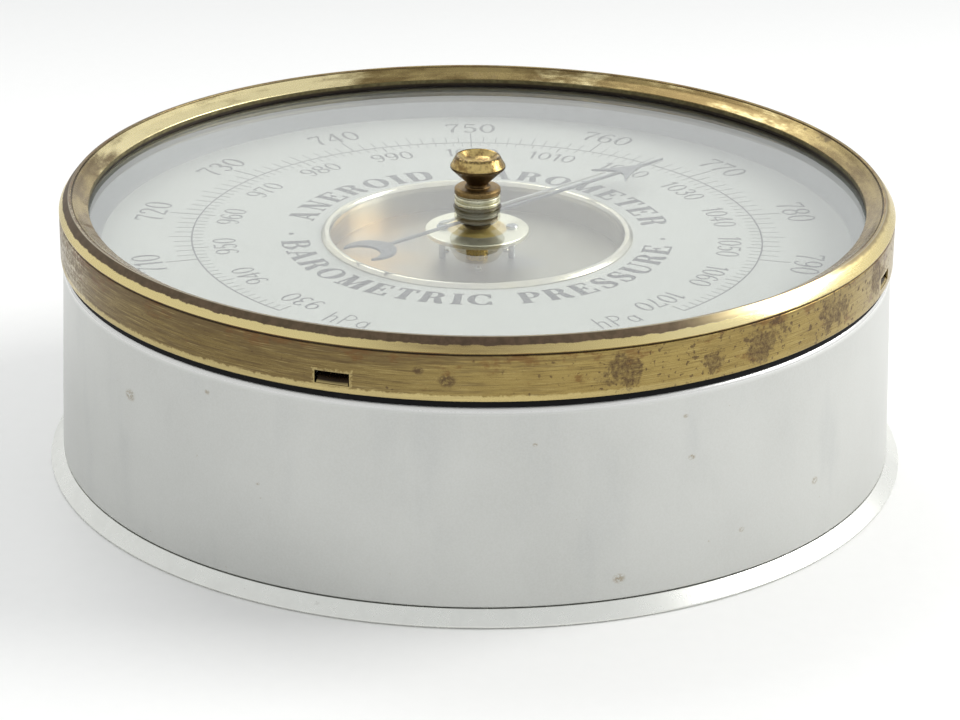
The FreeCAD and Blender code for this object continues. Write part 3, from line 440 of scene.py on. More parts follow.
@material
def case_paint(s):
    """Satin silver-grey paint with a fine metallic grain, rubs, a few rust specks and a painted highlight
    along the shoulder.
    """
    grain = s.noise(0.35, 2, 0.6)
    cloud = s.noise(26)
    runs = s.noise(9, 3, 0.6, place=s.stretched(1.0, 0.35), shift=3)
    # painted highlight: the shoulder is painted lighter, and is also made glossier and smoother there
    edge = s.smooth(s.z, CASE_TOP_Z - 1.5, CASE_TOP_Z - 0.4)
    ragged = s.noise(0.55, 4, 0.75, shift=5)
    specks = s.smooth(ragged, 0.42, 0.56) * s.spots(
        WALL_R, ragged, (-143, 28.0, 1.8), (-84, 31.5, 0.7), (-63, 26.0, 0.9), (-102, 8.2, 0.6),
        (-73, 6.5, 1.6), (-64, 33.5, 0.8), (-55, 10.5, 0.9), (-120, 20.5, 0.5), (-41, 14.0, 1.2),
        (-128, 34.3, 0.9), (60, 22.0, 1.1), (140, 12.0, 0.9), (25, 30.0, 0.8))
    dots = s.smooth(s.noise(1.1, 2, 0.6, shift=9), 0.74, 0.77)
    rust = s.mix(ragged, (178, 166, 140), (140, 124, 100))
    colour = s.layers(s.fade(cloud, 0.25, 0.75, (191, 192, 188), (200, 201, 197)),
                      (s.smooth(runs, 0.52, 0.75) * 0.4, (182, 184, 182)),
                      (s.smooth(grain, 0.3, 0.7) * 0.16, (222, 224, 224)),
                      (specks * 0.75 | dots * 0.4, rust), (edge * 0.9, (228, 228, 226)))
    rough = 0.36 + (grain - 0.5) * (0.12 - edge * 0.12) + specks * 0.25 + (cloud - 0.5) * 0.06 - edge * 0.1
    return s.finish(colour, rough, grain * (0.6 - edge * 0.6) + specks * 1.2 + runs * 0.4, 0.02,
                    Metallic=0.55)


@material
def foot_aluminium(s):
    """Turned, polished aluminium with fine circular lines and small scuffs."""
    rings = s.noise(0.22, 3, 0.6, place=s.stretched(0.05, 3.0))
    spun = s.math("SINE", s.radius * 34 + (rings - 0.5) * 9)
    scuff = s.noise(3.5, 5, 0.7, shift=2)
    stain = s.smooth(s.noise(1.3, 3, 0.6, shift=6), 0.68, 0.76)
    colour = s.layers(s.fade(scuff, 0.35, 0.75, (233, 234, 229), (226, 227, 222)),
                      (stain * 0.4, (140, 134, 124)))
    return s.finish(colour, 0.28 + (scuff - 0.5) * 0.1 + stain * 0.2, spun * 0.05 + scuff * 0.1, 0.008,
                    Metallic=0.9)


@material
def zinc_steel(s):
    """Plated sheet with a soft spangle, dull scratches and rust freckles."""
    scratch = s.noise(1.2, 5, 0.75, place=s.stretched(0.15, 1.0), shift=3)
    freckle = s.smooth(s.noise(2.2, 4, 0.65, shift=8), 0.66, 0.75)
    colour = s.layers(s.mix(s.noise(6, 2, 0.5), (168, 170, 168), (192, 193, 188)),
                      (freckle * 0.6, (132, 104, 78)))
    rough = 0.34 + (scratch - 0.5) * 0.25 + freckle * 0.3
    return s.finish(colour, rough, scratch, 0.01, Metallic=s.blend(freckle, 0.95, 0.2))


@material
def black_rubber(s):
    """Matte black rubber, greyed and dusty in places."""
    grain = s.noise(0.4, 4, 0.7)
    colour = s.fade(s.noise(5, 3, 0.6, shift=2), 0.5, 0.8, (8, 8, 9), (24, 23, 22))
    return s.finish(colour, 0.7 + (grain - 0.5) * 0.2, grain, 0.03, Specular_IOR_Level=0.15)


@material
def dial_white(s):
    """Silvery white enamel, faintly mottled, a touch darker towards the edge."""
    grain = s.noise(0.5, 2, 0.5, shift=2)
    colour = s.layers(s.mix(s.noise(18), (163, 164, 158), (170, 171, 165)),
                      (s.smooth(s.radius, 58, 70) * 0.5, (152, 154, 150)),
                      (s.smooth(grain, 0.3, 0.7) * 0.08, (157, 160, 157)))
    return s.finish(colour, 0.48 + (grain - 0.5) * 0.08, grain, 0.004, Specular_IOR_Level=0.4)


@material
def dial_ink(s):
    """Black printing ink, slightly uneven in density."""
    density = s.noise(0.7, 3, 0.6)
    colour = s.fade(density, 0.4, 0.75, (34, 34, 36), (62, 62, 64))
    return s.finish(colour, 0.5 + (density - 0.5) * 0.2, density, 0.004)


@material
def rim_nickel(s):
    """Polished nickel, warm where it has yellowed."""
    haze = s.noise(1.1, 4, 0.65, shift=2)
    dull_hand = s.smooth(s.z, 42.4, 42.7)
    colour = s.layers(s.fade(s.noise(8), 0.3, 0.7, (206, 202, 190), (220, 214, 190)),
                      (dull_hand, (170, 170, 166)), (s.smooth(s.z, 38.6, 38.0), (170, 165, 150)))
    return s.finish(colour, 0.2 + (haze - 0.4) * 0.14 + dull_hand * 0.3, haze, 0.006, Metallic=1.0)


@material
def rehaut_white(s):
    """Satin grey-white inner wall, dustier at its foot, with painted shade on its left side and along its
    top under the bezel's lip.
    """
    dust = s.noise(0.9, 4, 0.65, shift=2)
    foot = s.smooth(s.z, 40.4, DIAL_TOP)
    colour = s.layers(s.mix(s.noise(10), (124, 127, 126), (132, 135, 134)),
                      # painted shade: darker on the left side
                      (s.facing(165, 80, 20) * 0.9, (76, 79, 80)),
                      (foot * s.smooth(dust, 0.35, 0.7) * 0.5, (120, 121, 118)),
                      # painted shade: a brownish band along the top, under the bezel's lip
                      (s.smooth(s.z, 43.7, 43.95), (116, 112, 98)))
    return s.finish(colour, 0.5 + (dust - 0.5) * 0.12, dust, 0.006)


@material
def clear_glass(s):
    """Flat old glass with a faint haze of wiped dust; lamps shine through it."""
    smear = s.noise(9, 3, 0.55, place=s.stretched(1.0, 1.0), distort=0.6)
    glass = s.node("BsdfPrincipled", named={
        "Base Color": (0.97, 0.99, 0.98, 1.0), "Transmission Weight": 1.0, "IOR": 1.52,
        "Roughness": s.smooth(smear, 0.5, 0.9) * 0.03})
    clear = s.node("BsdfTransparent", (0.93, 0.95, 0.94, 1.0))
    shadow = s.node("LightPath", output="Is Shadow Ray")
    return s.surface(s.node("MixShader", shadow, glass, clear))


@material
def knob_brass(s):
    """Knob brass: bright worn cup and upper bevel, dark chocolate cone, waist and washer."""
    tone = s.noise(1.5, 4, 0.6)
    grit = s.noise(0.4, 4, 0.7, shift=2)
    above = s.smooth(s.z + (tone - 0.5) * 0.4, 53.8, 54.02)
    rim = s.smooth(s.radius, 3.5, 3.8) * s.smooth(s.radius, 4.35, 4.1) * s.smooth(s.z, 55.2, 55.5)
    bright = s.fade(tone, 0.4, 0.68, (204, 180, 118), (134, 108, 66))
    dark = s.fade(grit, 0.3, 0.75, (64, 50, 32), (104, 84, 54))
    colour = s.layers(dark, (above, bright),
                      (s.smooth(s.z, 50.2, 49.9) * s.smooth(grit, 0.3, 0.5), (146, 122, 80)),
                      (rim * s.smooth(grit, 0.3, 0.55) * 0.85, (70, 52, 32)))
    rough = s.blend(above, 0.4, 0.2) + (grit - 0.5) * 0.2
    return s.finish(colour, rough, grit * 0.5 + tone * 1.3, 0.06, Metallic=1.0)


@material
def bush_brass(s):
    """Pale turned brass of the bush above the glass, with painted shade in dark brown where it is below it.
    """
    tone = s.noise(3.0, 4, 0.6)
    haze = s.noise(0.45, 4, 0.65, shift=2)
    colour = s.fade(tone + (haze - 0.5) * 0.3, 0.38, 0.66, (230, 228, 204), (208, 204, 172))
    # painted shade: dark brown where the bush is below the glass
    below = s.smooth(s.z, GLASS_TOP - 0.9, GLASS_TOP - 1.4)
    colour = s.mix(below, colour, s.mix(haze, (46, 36, 24), (74, 60, 40)))
    relief = s.math("SINE", s.z * RINGS) * 0.1 + haze * 0.5
    return s.finish(colour, 0.3 + (haze - 0.5) * 0.2 + below * 0.1, relief, 0.012, Metallic=0.85)


@material
def black_metal(s):
    """Blackened steel of the hands: deep at the hub, greyer with wear along the arms."""
    wear = s.noise(4, 4, 0.6)
    haze = s.noise(0.5, 4, 0.65, shift=2)
    colour = s.fade(wear + (haze - 0.5) * 0.3, 0.38, 0.66, (26, 25, 26), (44, 42, 42))
    colour = s.fade(s.radius, 5.0, 9.0, colour, s.mix(wear, (74, 75, 78), (88, 89, 92)))
    return s.finish(colour, 0.3 + (haze - 0.5) * 0.2, haze, 0.004, Metallic=0.3)


@material
def well_polish(s):
    """Soft mirror plate in the middle of the dial, with a painted warm reflection to one side and painted
    grey reflections.
    """
    painted_reflection_noise = s.noise(16, 2, 0.5, distort=0.4)
    haze = s.noise(1.4, 4, 0.6, shift=3)
    # painted reflection: a warm patch to the left and grey patches
    colour = s.layers(s.fade(s.x + (painted_reflection_noise - 0.5) * 22, -4, -22, (158, 155, 142), (190, 162, 120)),
                      (s.smooth(painted_reflection_noise, 0.5, 0.7) * 0.5, (156, 156, 158)))
    return s.finish(colour, 0.42 + (haze - 0.5) * 0.14, haze, 0.004, Metallic=1.0)


@material
def hub_brass(s):
    """Hub disc: satin gold middle inside a polished margin whose paler colour is a painted reflection."""
    tone = s.noise(2.5, 4, 0.6)
    haze = s.noise(0.45, 4, 0.65, shift=2)
    margin = s.smooth(s.radius + (tone - 0.5) * 0.8, 5.0, 5.8)
    # painted reflection: the margin is painted near white
    colour = s.layers(s.fade(tone, 0.35, 0.7, (232, 208, 130), (206, 178, 100)),
                      (margin, (232, 228, 204)))
    return s.finish(colour, s.blend(margin, 0.46, 0.3) + (haze - 0.5) * 0.16, haze, 0.006,
                    Metallic=s.blend(margin, 0.5, 0.85))


def turned_metal(s, light, dark, rough, patch):
    """Lathe-turned metal with fine rings, patches of tarnish and small pits."""
    tone = s.noise(patch, 4, 0.6)
    haze = s.noise(0.45, 4, 0.65, shift=2)
    rings = s.math("SINE", (s.radius + s.z) * RINGS)
    colour = s.fade(tone + (haze - 0.5) * 0.3, 0.38, 0.66, light, dark)
    return s.finish(colour, rough + (haze - 0.5) * 0.22, rings * 0.1 + haze * 0.5, 0.012, Metallic=1.0)


for name, *finish in (("movement_brass", (206, 178, 104), (168, 138, 78), 0.28, 9.0),
                      ("pivot_steel", (196, 198, 202), (160, 162, 168), 0.22, 4.0),
                      ("capsule_bronze", (204, 190, 156), (176, 158, 120), 0.3, 7.0)):
    MATERIALS[name] = turned_metal(Shade(name), *finish)

for row in frame["record"]["subparts"]:
    for holder in frame["nodes"][row["node"]].material_slots:
        holder.material = MATERIALS[row["material_slot"]]


# ---- case and bezel
def turned(name, slot, node, corners, columns, warp=None, body="root", **cuts):
    """Turned piece with its slot's material, standing for a node of the frame."""
    stand_for(lathe(name, corners, MATERIALS[slot], columns, warp, **cuts), body, slot, node)


def dented(depth, seed):
    """Hand-worn unevenness of a turned wall, at most depth millimetres inwards."""
    def warp(angle, r, z):
        place = Vector((math.cos(angle) * 5, math.sin(angle) * 5, z * 0.15 + seed))
        return r - depth * (0.5 + 0.5 * noise.noise(place)), z
    return warp


turned("spun_bezel", "bezel_brass", "bezel", [
    (BEZEL_INNER, BEZEL_BOTTOM, 0.15), (BEZEL_R, BEZEL_BOTTOM, 0.22), (BEZEL_R, WINDOW_LOW),
    (BEZEL_R, WINDOW_HIGH), (BEZEL_R, 44.9), (BEZEL_R, 47.12, 0.08), (BEZEL_R - 0.2, 47.25, 0.05),
    (BEZEL_R - 0.2, 47.38, 0.05), (BEZEL_R + 0.02, 47.5, 0.04), (BEZEL_R + 0.02, 47.72, 0.14),
    (74.55, 48.5), (74.02, 49.2, 2.0), (RIDGE_R + 0.14, RIDGE_Z, 0.22), (RIDGE_R - 0.36, 49.92, 0.12),
    (RIDGE_R - 0.42, 49.6, 0.05), (RIDGE_R - 0.54, 49.6, 0.05), (RIDGE_R - 0.64, 49.74, 0.08),
    (71.6, 49.07, 3.0), (LIP_R, LIP_Z, 0.22), (LIP_R, GLASS_TOP, 0.04), (LIP_R + 0.9, GLASS_TOP),
    (LIP_R + 0.9, 47.5), (72.9, 48.85, 0.3), (73.7, 48.6, 0.3), (BEZEL_INNER, 47.1, 0.4),
    (BEZEL_INNER, WINDOW_HIGH), (BEZEL_INNER, WINDOW_LOW)],
    720, dented(0.07, 1), windows=(BEZEL_R, WINDOW_HALF))


def window_tongues():
    """Four tongues lanced out of the bezel's wall, each leaning in over the case's collar."""
    section = [(74.15, WINDOW_LOW), (74.85, WINDOW_LOW), (74.85, 40.65), (73.4, 42.22), (72.85, 41.8)]
    count, steps = len(section), 6
    half = WINDOW_HALF - 0.25
    verts, faces = [], []
    for degrees in WINDOW_ANGLES:
        first = len(verts)
        turn = Matrix.Rotation(math.radians(degrees), 3, "Z")
        for k in range(steps + 1):
            across = 2 * k / steps - 1
            lean = 0.12 * (1 - across ** 2)
            for r, z in section:
                verts.append(turn @ Vector((r - lean * (z > 41), half * across, z)))
        for k in range(steps):
            a, b = first + k * count, first + (k + 1) * count
            for i in range(count):
                j = (i + 1) % count
                faces.append([a + i, a + j, b + j, b + i])
        faces.append([first + i for i in range(count)])
        faces.append([first + steps * count + i for i in range(count)])
    tongues = mesh_object("window_tongues", verts, faces, MATERIALS["bezel_brass"])
    stand_for(soften(tongues, 0.08), "root", "bezel_brass")


window_tongues()

turned("drawn_case", "case_paint", "case_shell", [
    (CASE_FOOT_R - SHEET, CASE_FOOT_Z), (CASE_FOOT_R, CASE_FOOT_Z, 0.3), (75.4, 14), (75.0, 25.5),
    (CASE_TOP_R + 0.04, 36.75, 1.2), (74.44, 37.5, 0.9), (74.02, CASE_TOP_Z, 0.2),
    (NECK_R, CASE_TOP_Z), (NECK_R, WINDOW_LOW), (NECK_R, WINDOW_HIGH), (NECK_R, NECK_TOP, 0.2),
    (NECK_INNER, NECK_TOP, 0.2), (NECK_INNER, WINDOW_HIGH), (NECK_INNER, WINDOW_LOW),
    (NECK_INNER, CASE_TOP_Z - SHEET, 0.4), (CASE_TOP_R - SHEET, CASE_TOP_Z - SHEET, 0.4)],
    480, dented(0.05, 7), windows=(BEZEL_R, WINDOW_HALF + 0.3), steps=8)

turned("foot_ring", "foot_aluminium", "base_ring", [
    (70.2, 0), (77.6, 0, 0.2), (78.21, 0.28, 0.3), (76.02, 2.4, 0.5), (75.8, 2.63, 0.2),
    (62.0, 2.63), (62.0, 1.25), (70.2, 1.25)], 480, dented(0.02, 3))

turned("rubber_ring", "black_rubber", "case_gasket", [
    (NECK_R + 0.02, CASE_TOP_Z + 0.01), (74.36, CASE_TOP_Z + 0.01, 0.4),
    (74.36, BEZEL_BOTTOM - 0.01, 0.4), (NECK_R + 0.02, BEZEL_BOTTOM - 0.01)], 480)


# ---- dial, trim and glass
turned("dial_plate", "dial_white", "dial", [
    (27.25, 38.2), (72.9, 38.2), (72.9, DIAL_TOP, 0.05), (50, DIAL_TOP), (27.25, DIAL_TOP, 0.1)], 360)

turned("dial_trim", "rim_nickel", "dial_rim", [
    (26.4, 34.4), (27.25, 34.4), (27.25, DIAL_TOP), (28.3, DIAL_TOP, 0.03), (28.2, 39.3, 0.3),
    (27.5, 39.85, 0.45), (26.75, 39.75, 0.4), (26.4, 39.1, 0.5)], 360)

turned("inner_ring", "rehaut_white", "rehaut", [
    (67.7, DIAL_TOP), (69.3, DIAL_TOP), (71.1, 43.35), (72.9, 43.35), (72.9, 44.05),
    (70.4, 44.05, 0.2)], 480)

turned("front_glass", "clear_glass", "glass", [
    (3.3, GLASS_BOTTOM, 0.1), (72.4, GLASS_BOTTOM, 0.3), (72.4, GLASS_TOP, 0.3),
    (3.3, GLASS_TOP, 0.1)], 360)


# ---- knob
def knob_warp(depth, seed):
    """Uneven hand-turned edges of the small knob pieces."""
    def warp(angle, r, z):
        place = Vector((math.cos(angle) * 1.7, math.sin(angle) * 1.7, z * 0.8 + seed))
        fall = depth * (0.5 + 0.5 * noise.noise(place))
        return r - fall * min(1.0, r / 2), z - 0.5 * fall
    return warp


turned("turned_knob", "knob_brass", "set_knob", [
    (0, 51.2), (1.2, 51.2), (1.2, 49.9), (2.6, 49.9, 0.1), (1.98, 50.35, 0.3), (2.12, 50.8, 0.3),
    (4.85, 53.34, 0.15), (5.05, 53.55, 0.12), (5.05, 53.98, 0.12), (4.8, 54.42, 0.2),
    (4.1, 55.66, 0.15), (3.85, 55.8, 0.12), (3.62, 55.7, 0.12), (2.6, 54.85, 0.6),
    (1.4, 54.52, 0.8), (0, 54.45)], 96, knob_warp(0.13, 2), "set_body")

turned("knob_collar", "knob_brass", "knob_washer", [
    (1.2, 48.7), (4.2, 48.7, 0.15), (4.2, 49.62, 0.2), (3.75, 49.9, 0.15), (1.2, 49.9)],
    96, knob_warp(0.06, 5), "set_body")

turned("glass_bush", "bush_brass", "knob_bush", [
    (1.25, 43.75), (3.2, 43.75), (3.2, GLASS_TOP), (4.12, GLASS_TOP, 0.1), (4.16, 47.38, 0.28),
    (3.72, 47.42, 0.03), (3.72, 47.6, 0.03), (4.12, 47.66, 0.2), (4.12, 48.4, 0.3),
    (3.72, 48.42, 0.03), (3.72, 48.6, 0.05), (1.25, 48.6)], 128)


# ---- lettering
# A stroke is its left edge, its right edge and whether it closes on itself. Letters are 1 high.
def pen(points, closed=False):
    """Stroke along centre points, each with its half width across the path."""
    left, right = [], []
    last = len(points) - 1
    for i, (x, y, half) in enumerate(points):
        before = points[i - 1] if i or closed else points[i]
        after = points[(i + 1) % len(points)] if i < last or closed else points[i]
        along = Vector((after[0] - before[0], after[1] - before[1])).normalized()
        left.append((x - along.y * half, y + along.x * half))
        right.append((x + along.y * half, y - along.x * half))
    return left, right, closed


def bar(x0, y0, x1, y1, width):
    return pen([(x0, y0, width / 2), (x1, y1, width / 2)])


def block_bar(x0, y0, x1, y1, width):
    """Stroke cut level at both ends, for the slanted strokes of capitals."""
    half = width / 2
    return [(x0 - half, y0), (x1 - half, y1)], [(x0 + half, y0), (x1 + half, y1)], False


def bow(x, y, wide, high, thick, thin, start=0, end=360, steps=24):
    """Part of an ellipse, thick at its sides and thin at its top and bottom."""
    closed = end - start == 360
    points = []
    for k in range(steps if closed else steps + 1):
        angle = math.radians(start + (end - start) * k / steps)
        half = (thin + (thick - thin) * math.cos(angle) ** 2) / 2
        points.append((x + wide * math.cos(angle), y + high * math.sin(angle), half))
    return pen(points, closed)


def swell(points, widths):
    """Smooth stroke through its points, its width changing from one to the next."""
    dense, steps = [], 8
    padded = [points[0]] + list(points) + [points[-1]]
    for i in range(len(points) - 1):
        a, b, c, d = (Vector(p) for p in padded[i:i + 4])
        for k in range(steps + (i == len(points) - 2)):
            t = k / steps
            at = 0.5 * ((2 * b) + (c - a) * t + (2 * a - 5 * b + 4 * c - d) * t * t
                        + (3 * b - a - 3 * c + d) * t ** 3)
            dense.append((at.x, at.y, (widths[i] + (widths[i + 1] - widths[i]) * t) / 2))
    return pen(dense)


def bowl(thick, thin, *points):
    """Half-round side of a letter such as P, thick in its middle."""
    return swell(points, [thin, thin, thick, thin, thin])


def numeral(thick, thin):
    """Condensed upright numerals, each as (advance, strokes) for a height of 1."""
    pens = (thick, thin)
    flat = 0.09
    return {
        "0": (0.62, [bow(0.31, 0.5, 0.235, 0.47, *pens, steps=28)]),
        "1": (0.4, [
            bar(0.24, 0, 0.24, 0.985, thick),
            swell([(0.06, 0.8), (0.15, 0.87), (0.21, 0.96)], [thin] * 3)]),
        "2": (0.6, [
            swell([(0.09, 0.74), (0.12, 0.9), (0.29, 0.965), (0.46, 0.86), (0.47, 0.67), (0.33, 0.42),
                (0.17, 0.2), (0.08, 0.03)],
                [thick, thin * 1.3, thin, thick, thick, thick * 0.8, thin, thin]),
            bar(0.06, 0.045, 0.52, 0.045, flat)]),
        "3": (0.6, [
            swell([(0.1, 0.82), (0.2, 0.94), (0.34, 0.955), (0.46, 0.84), (0.42, 0.63), (0.24, 0.53)],
                [thick, thin, thin, thick, thick, thin]),
            swell([(0.24, 0.53), (0.44, 0.45), (0.5, 0.26), (0.38, 0.06), (0.22, 0.03), (0.09, 0.16)],
                [thin, thick, thick, thin, thin, thick])]),
        "4": (0.62, [
            bar(0.42, 0, 0.42, 1.0, thick), bar(0.41, 0.97, 0.05, 0.29, thin),
            bar(0.03, 0.27, 0.57, 0.27, thin * 1.15)]),
        "5": (0.6, [
            bar(0.13, 0.955, 0.5, 0.955, flat), bar(0.15, 0.95, 0.12, 0.53, thin),
            swell([(0.12, 0.53), (0.28, 0.61), (0.46, 0.5), (0.5, 0.29), (0.39, 0.07), (0.22, 0.03),
                (0.09, 0.15)], [thin, thin, thick, thick, thin, thin, thick])]),
        "6": (0.62, [
            swell([(0.49, 0.86), (0.38, 0.965), (0.22, 0.9), (0.1, 0.62), (0.09, 0.34)],
                [thick * 0.8, thin, thin, thick, thick]), bow(0.31, 0.305, 0.22, 0.275, *pens)]),
        "7": (0.58, [
            bar(0.07, 0.95, 0.53, 0.95, flat), bar(0.08, 0.99, 0.08, 0.8, thin),
            swell([(0.51, 0.94), (0.37, 0.62), (0.27, 0.3), (0.25, 0.0)], [thin, thin, thick, thick])]),
        "8": (0.62, [bow(0.31, 0.745, 0.195, 0.225, *pens), bow(0.31, 0.265, 0.235, 0.245, *pens)]),
        "9": (0.62, [
            bow(0.31, 0.695, 0.22, 0.275, *pens),
            swell([(0.53, 0.66), (0.52, 0.38), (0.4, 0.1), (0.24, 0.035), (0.12, 0.14)],
                [thick, thick, thin, thin, thick * 0.8])]),
        "h": (0.56, [
            bar(0.12, 0, 0.12, 1.0, thick),
            swell([(0.13, 0.45), (0.26, 0.62), (0.42, 0.56), (0.44, 0.36), (0.44, 0.0)],
                [thin, thin, thick, thick, thick])]),
        "P": (0.62, [
            bar(0.12, 0, 0.12, 1.0, thick),
            bowl(*pens, (0.12, 0.955), (0.36, 0.955), (0.52, 0.74), (0.36, 0.5), (0.12, 0.5))]),
        "a": (0.58, [bow(0.28, 0.32, 0.18, 0.29, *pens, steps=20), bar(0.47, 0, 0.47, 0.63, thick)]),
    }


def capitals(thick, thin):
    """Bold serif capitals, each as (advance, strokes) for a height of 1."""
    pens = (thick, thin)
    low, high = thin / 2, 1 - thin / 2
    hair, beak = thin * 1.1, thin * 1.3
    stem = bar(0.2, 0, 0.2, 1, thick)

    def feet(*spots):
        """Flat serifs: each spot is x, y and half length."""
        return [bar(x - half, y, x + half, y, thin) for x, y, half in spots]

    stem_feet = feet((0.18, low, 0.15), (0.18, high, 0.15))
    return {
        "A": (0.98, [
            block_bar(0.46, 1, 0.17, 0, thin * 1.2), block_bar(0.46, 1, 0.78, 0, thick),
            bar(0.25, 0.31, 0.68, 0.31, thin), *feet((0.16, low, 0.14), (0.79, low, 0.18))]),
        "B": (0.86, [
            stem, bowl(*pens, (0.2, high), (0.5, high), (0.66, 0.75), (0.48, 0.53), (0.2, 0.53)),
            bowl(*pens, (0.4, 0.53), (0.58, 0.52), (0.74, 0.27), (0.54, low), (0.2, low)), *stem_feet]),
        "C": (0.88, [
            bow(0.47, 0.5, 0.36, 0.465, *pens, 42, 318), bar(0.75, 0.62, 0.77, 0.98, beak),
            bar(0.76, 0.02, 0.74, 0.3, thin)]),
        "D": (0.94, [
            stem,
            swell([(0.2, high), (0.52, high), (0.76, 0.78), (0.79, 0.5), (0.76, 0.22), (0.52, low),
                (0.2, low)], [thin, thin, thick, thick * 1.05, thick, thin, thin]), *stem_feet]),
        "E": (0.84, [
            stem, bar(0.1, high, 0.72, high, thin), bar(0.1, low, 0.76, low, thin),
            bar(0.2, 0.52, 0.52, 0.52, thin), bar(0.7, 1, 0.7, 0.745, beak),
            bar(0.74, 0, 0.74, 0.289, beak), bar(0.52, 0.66, 0.52, 0.38, thin),
            *feet((0.16, low, 0.14), (0.16, high, 0.14))]),
        "I": (0.46, [bar(0.23, 0, 0.23, 1, thick), *feet((0.23, low, 0.2), (0.23, high, 0.2))]),
        "M": (1.14, [
            bar(0.19, 0, 0.19, 1, hair), block_bar(0.24, 1, 0.52, 0.02, thick),
            block_bar(0.52, 0.02, 0.86, 1, thin), bar(0.91, 0, 0.91, 1, thick),
            *feet((0.19, low, 0.14), (0.91, low, 0.18), (0.16, high, 0.14), (0.95, high, 0.13))]),
        "N": (0.98, [
            bar(0.19, 0, 0.19, 1, hair), block_bar(0.24, 1, 0.74, 0, thick), bar(0.79, 0, 0.79, 1, hair),
            *feet((0.19, low, 0.14), (0.15, high, 0.14), (0.79, high, 0.14))]),
        "O": (0.94, [bow(0.47, 0.5, 0.35, 0.465, *pens, steps=32)]),
        "P": (0.82, [
            stem, bowl(*pens, (0.2, high), (0.5, high), (0.68, 0.73), (0.5, 0.47), (0.2, 0.47)),
            *feet((0.19, low, 0.18), (0.18, high, 0.15))]),
        "R": (0.92, [
            stem, bowl(*pens, (0.2, high), (0.5, high), (0.67, 0.76), (0.5, 0.51), (0.2, 0.51)),
            swell([(0.46, 0.51), (0.6, 0.42), (0.68, 0.12), (0.84, 0.03)],
                [thin, thick * 0.9, thick, thin]), *stem_feet]),
        "S": (0.76, [
            swell([(0.61, 0.72), (0.56, 0.9), (0.38, 0.965), (0.19, 0.88), (0.2, 0.68), (0.4, 0.52),
                (0.58, 0.38), (0.6, 0.16), (0.4, 0.03), (0.22, 0.08), (0.15, 0.3)],
                [thin, thin, thin, thick * 0.7, thick, thick * 1.05, thick, thick * 0.7, thin, thin, thin]),
            bar(0.61, 0.68, 0.61, 0.98, thin), bar(0.14, 0.02, 0.14, 0.34, thin)]),
        "T": (0.84, [
            bar(0.42, 0, 0.42, 1, thick), bar(0.08, high, 0.76, high, thin),
            bar(0.09, 1, 0.09, 0.728, beak), bar(0.75, 1, 0.75, 0.728, beak), *feet((0.42, low, 0.2))]),
        "U": (0.96, [
            swell([(0.22, 1), (0.22, 0.6), (0.22, 0.32), (0.32, 0.09), (0.5, 0.03), (0.68, 0.09),
                (0.78, 0.32), (0.78, 0.6), (0.78, 1)],
                [thick] * 3 + [thick * 0.7, thin * 1.2] + [thin] * 4),
            *feet((0.2, high, 0.18), (0.78, high, 0.14))]),
        " ": (0.62, []),
    }


def on_dial(radius, degrees):
    """Point on the dial at an angle clockwise from twelve o'clock."""
    angle = math.radians(degrees)
    return radius * math.sin(angle), radius * math.cos(angle)


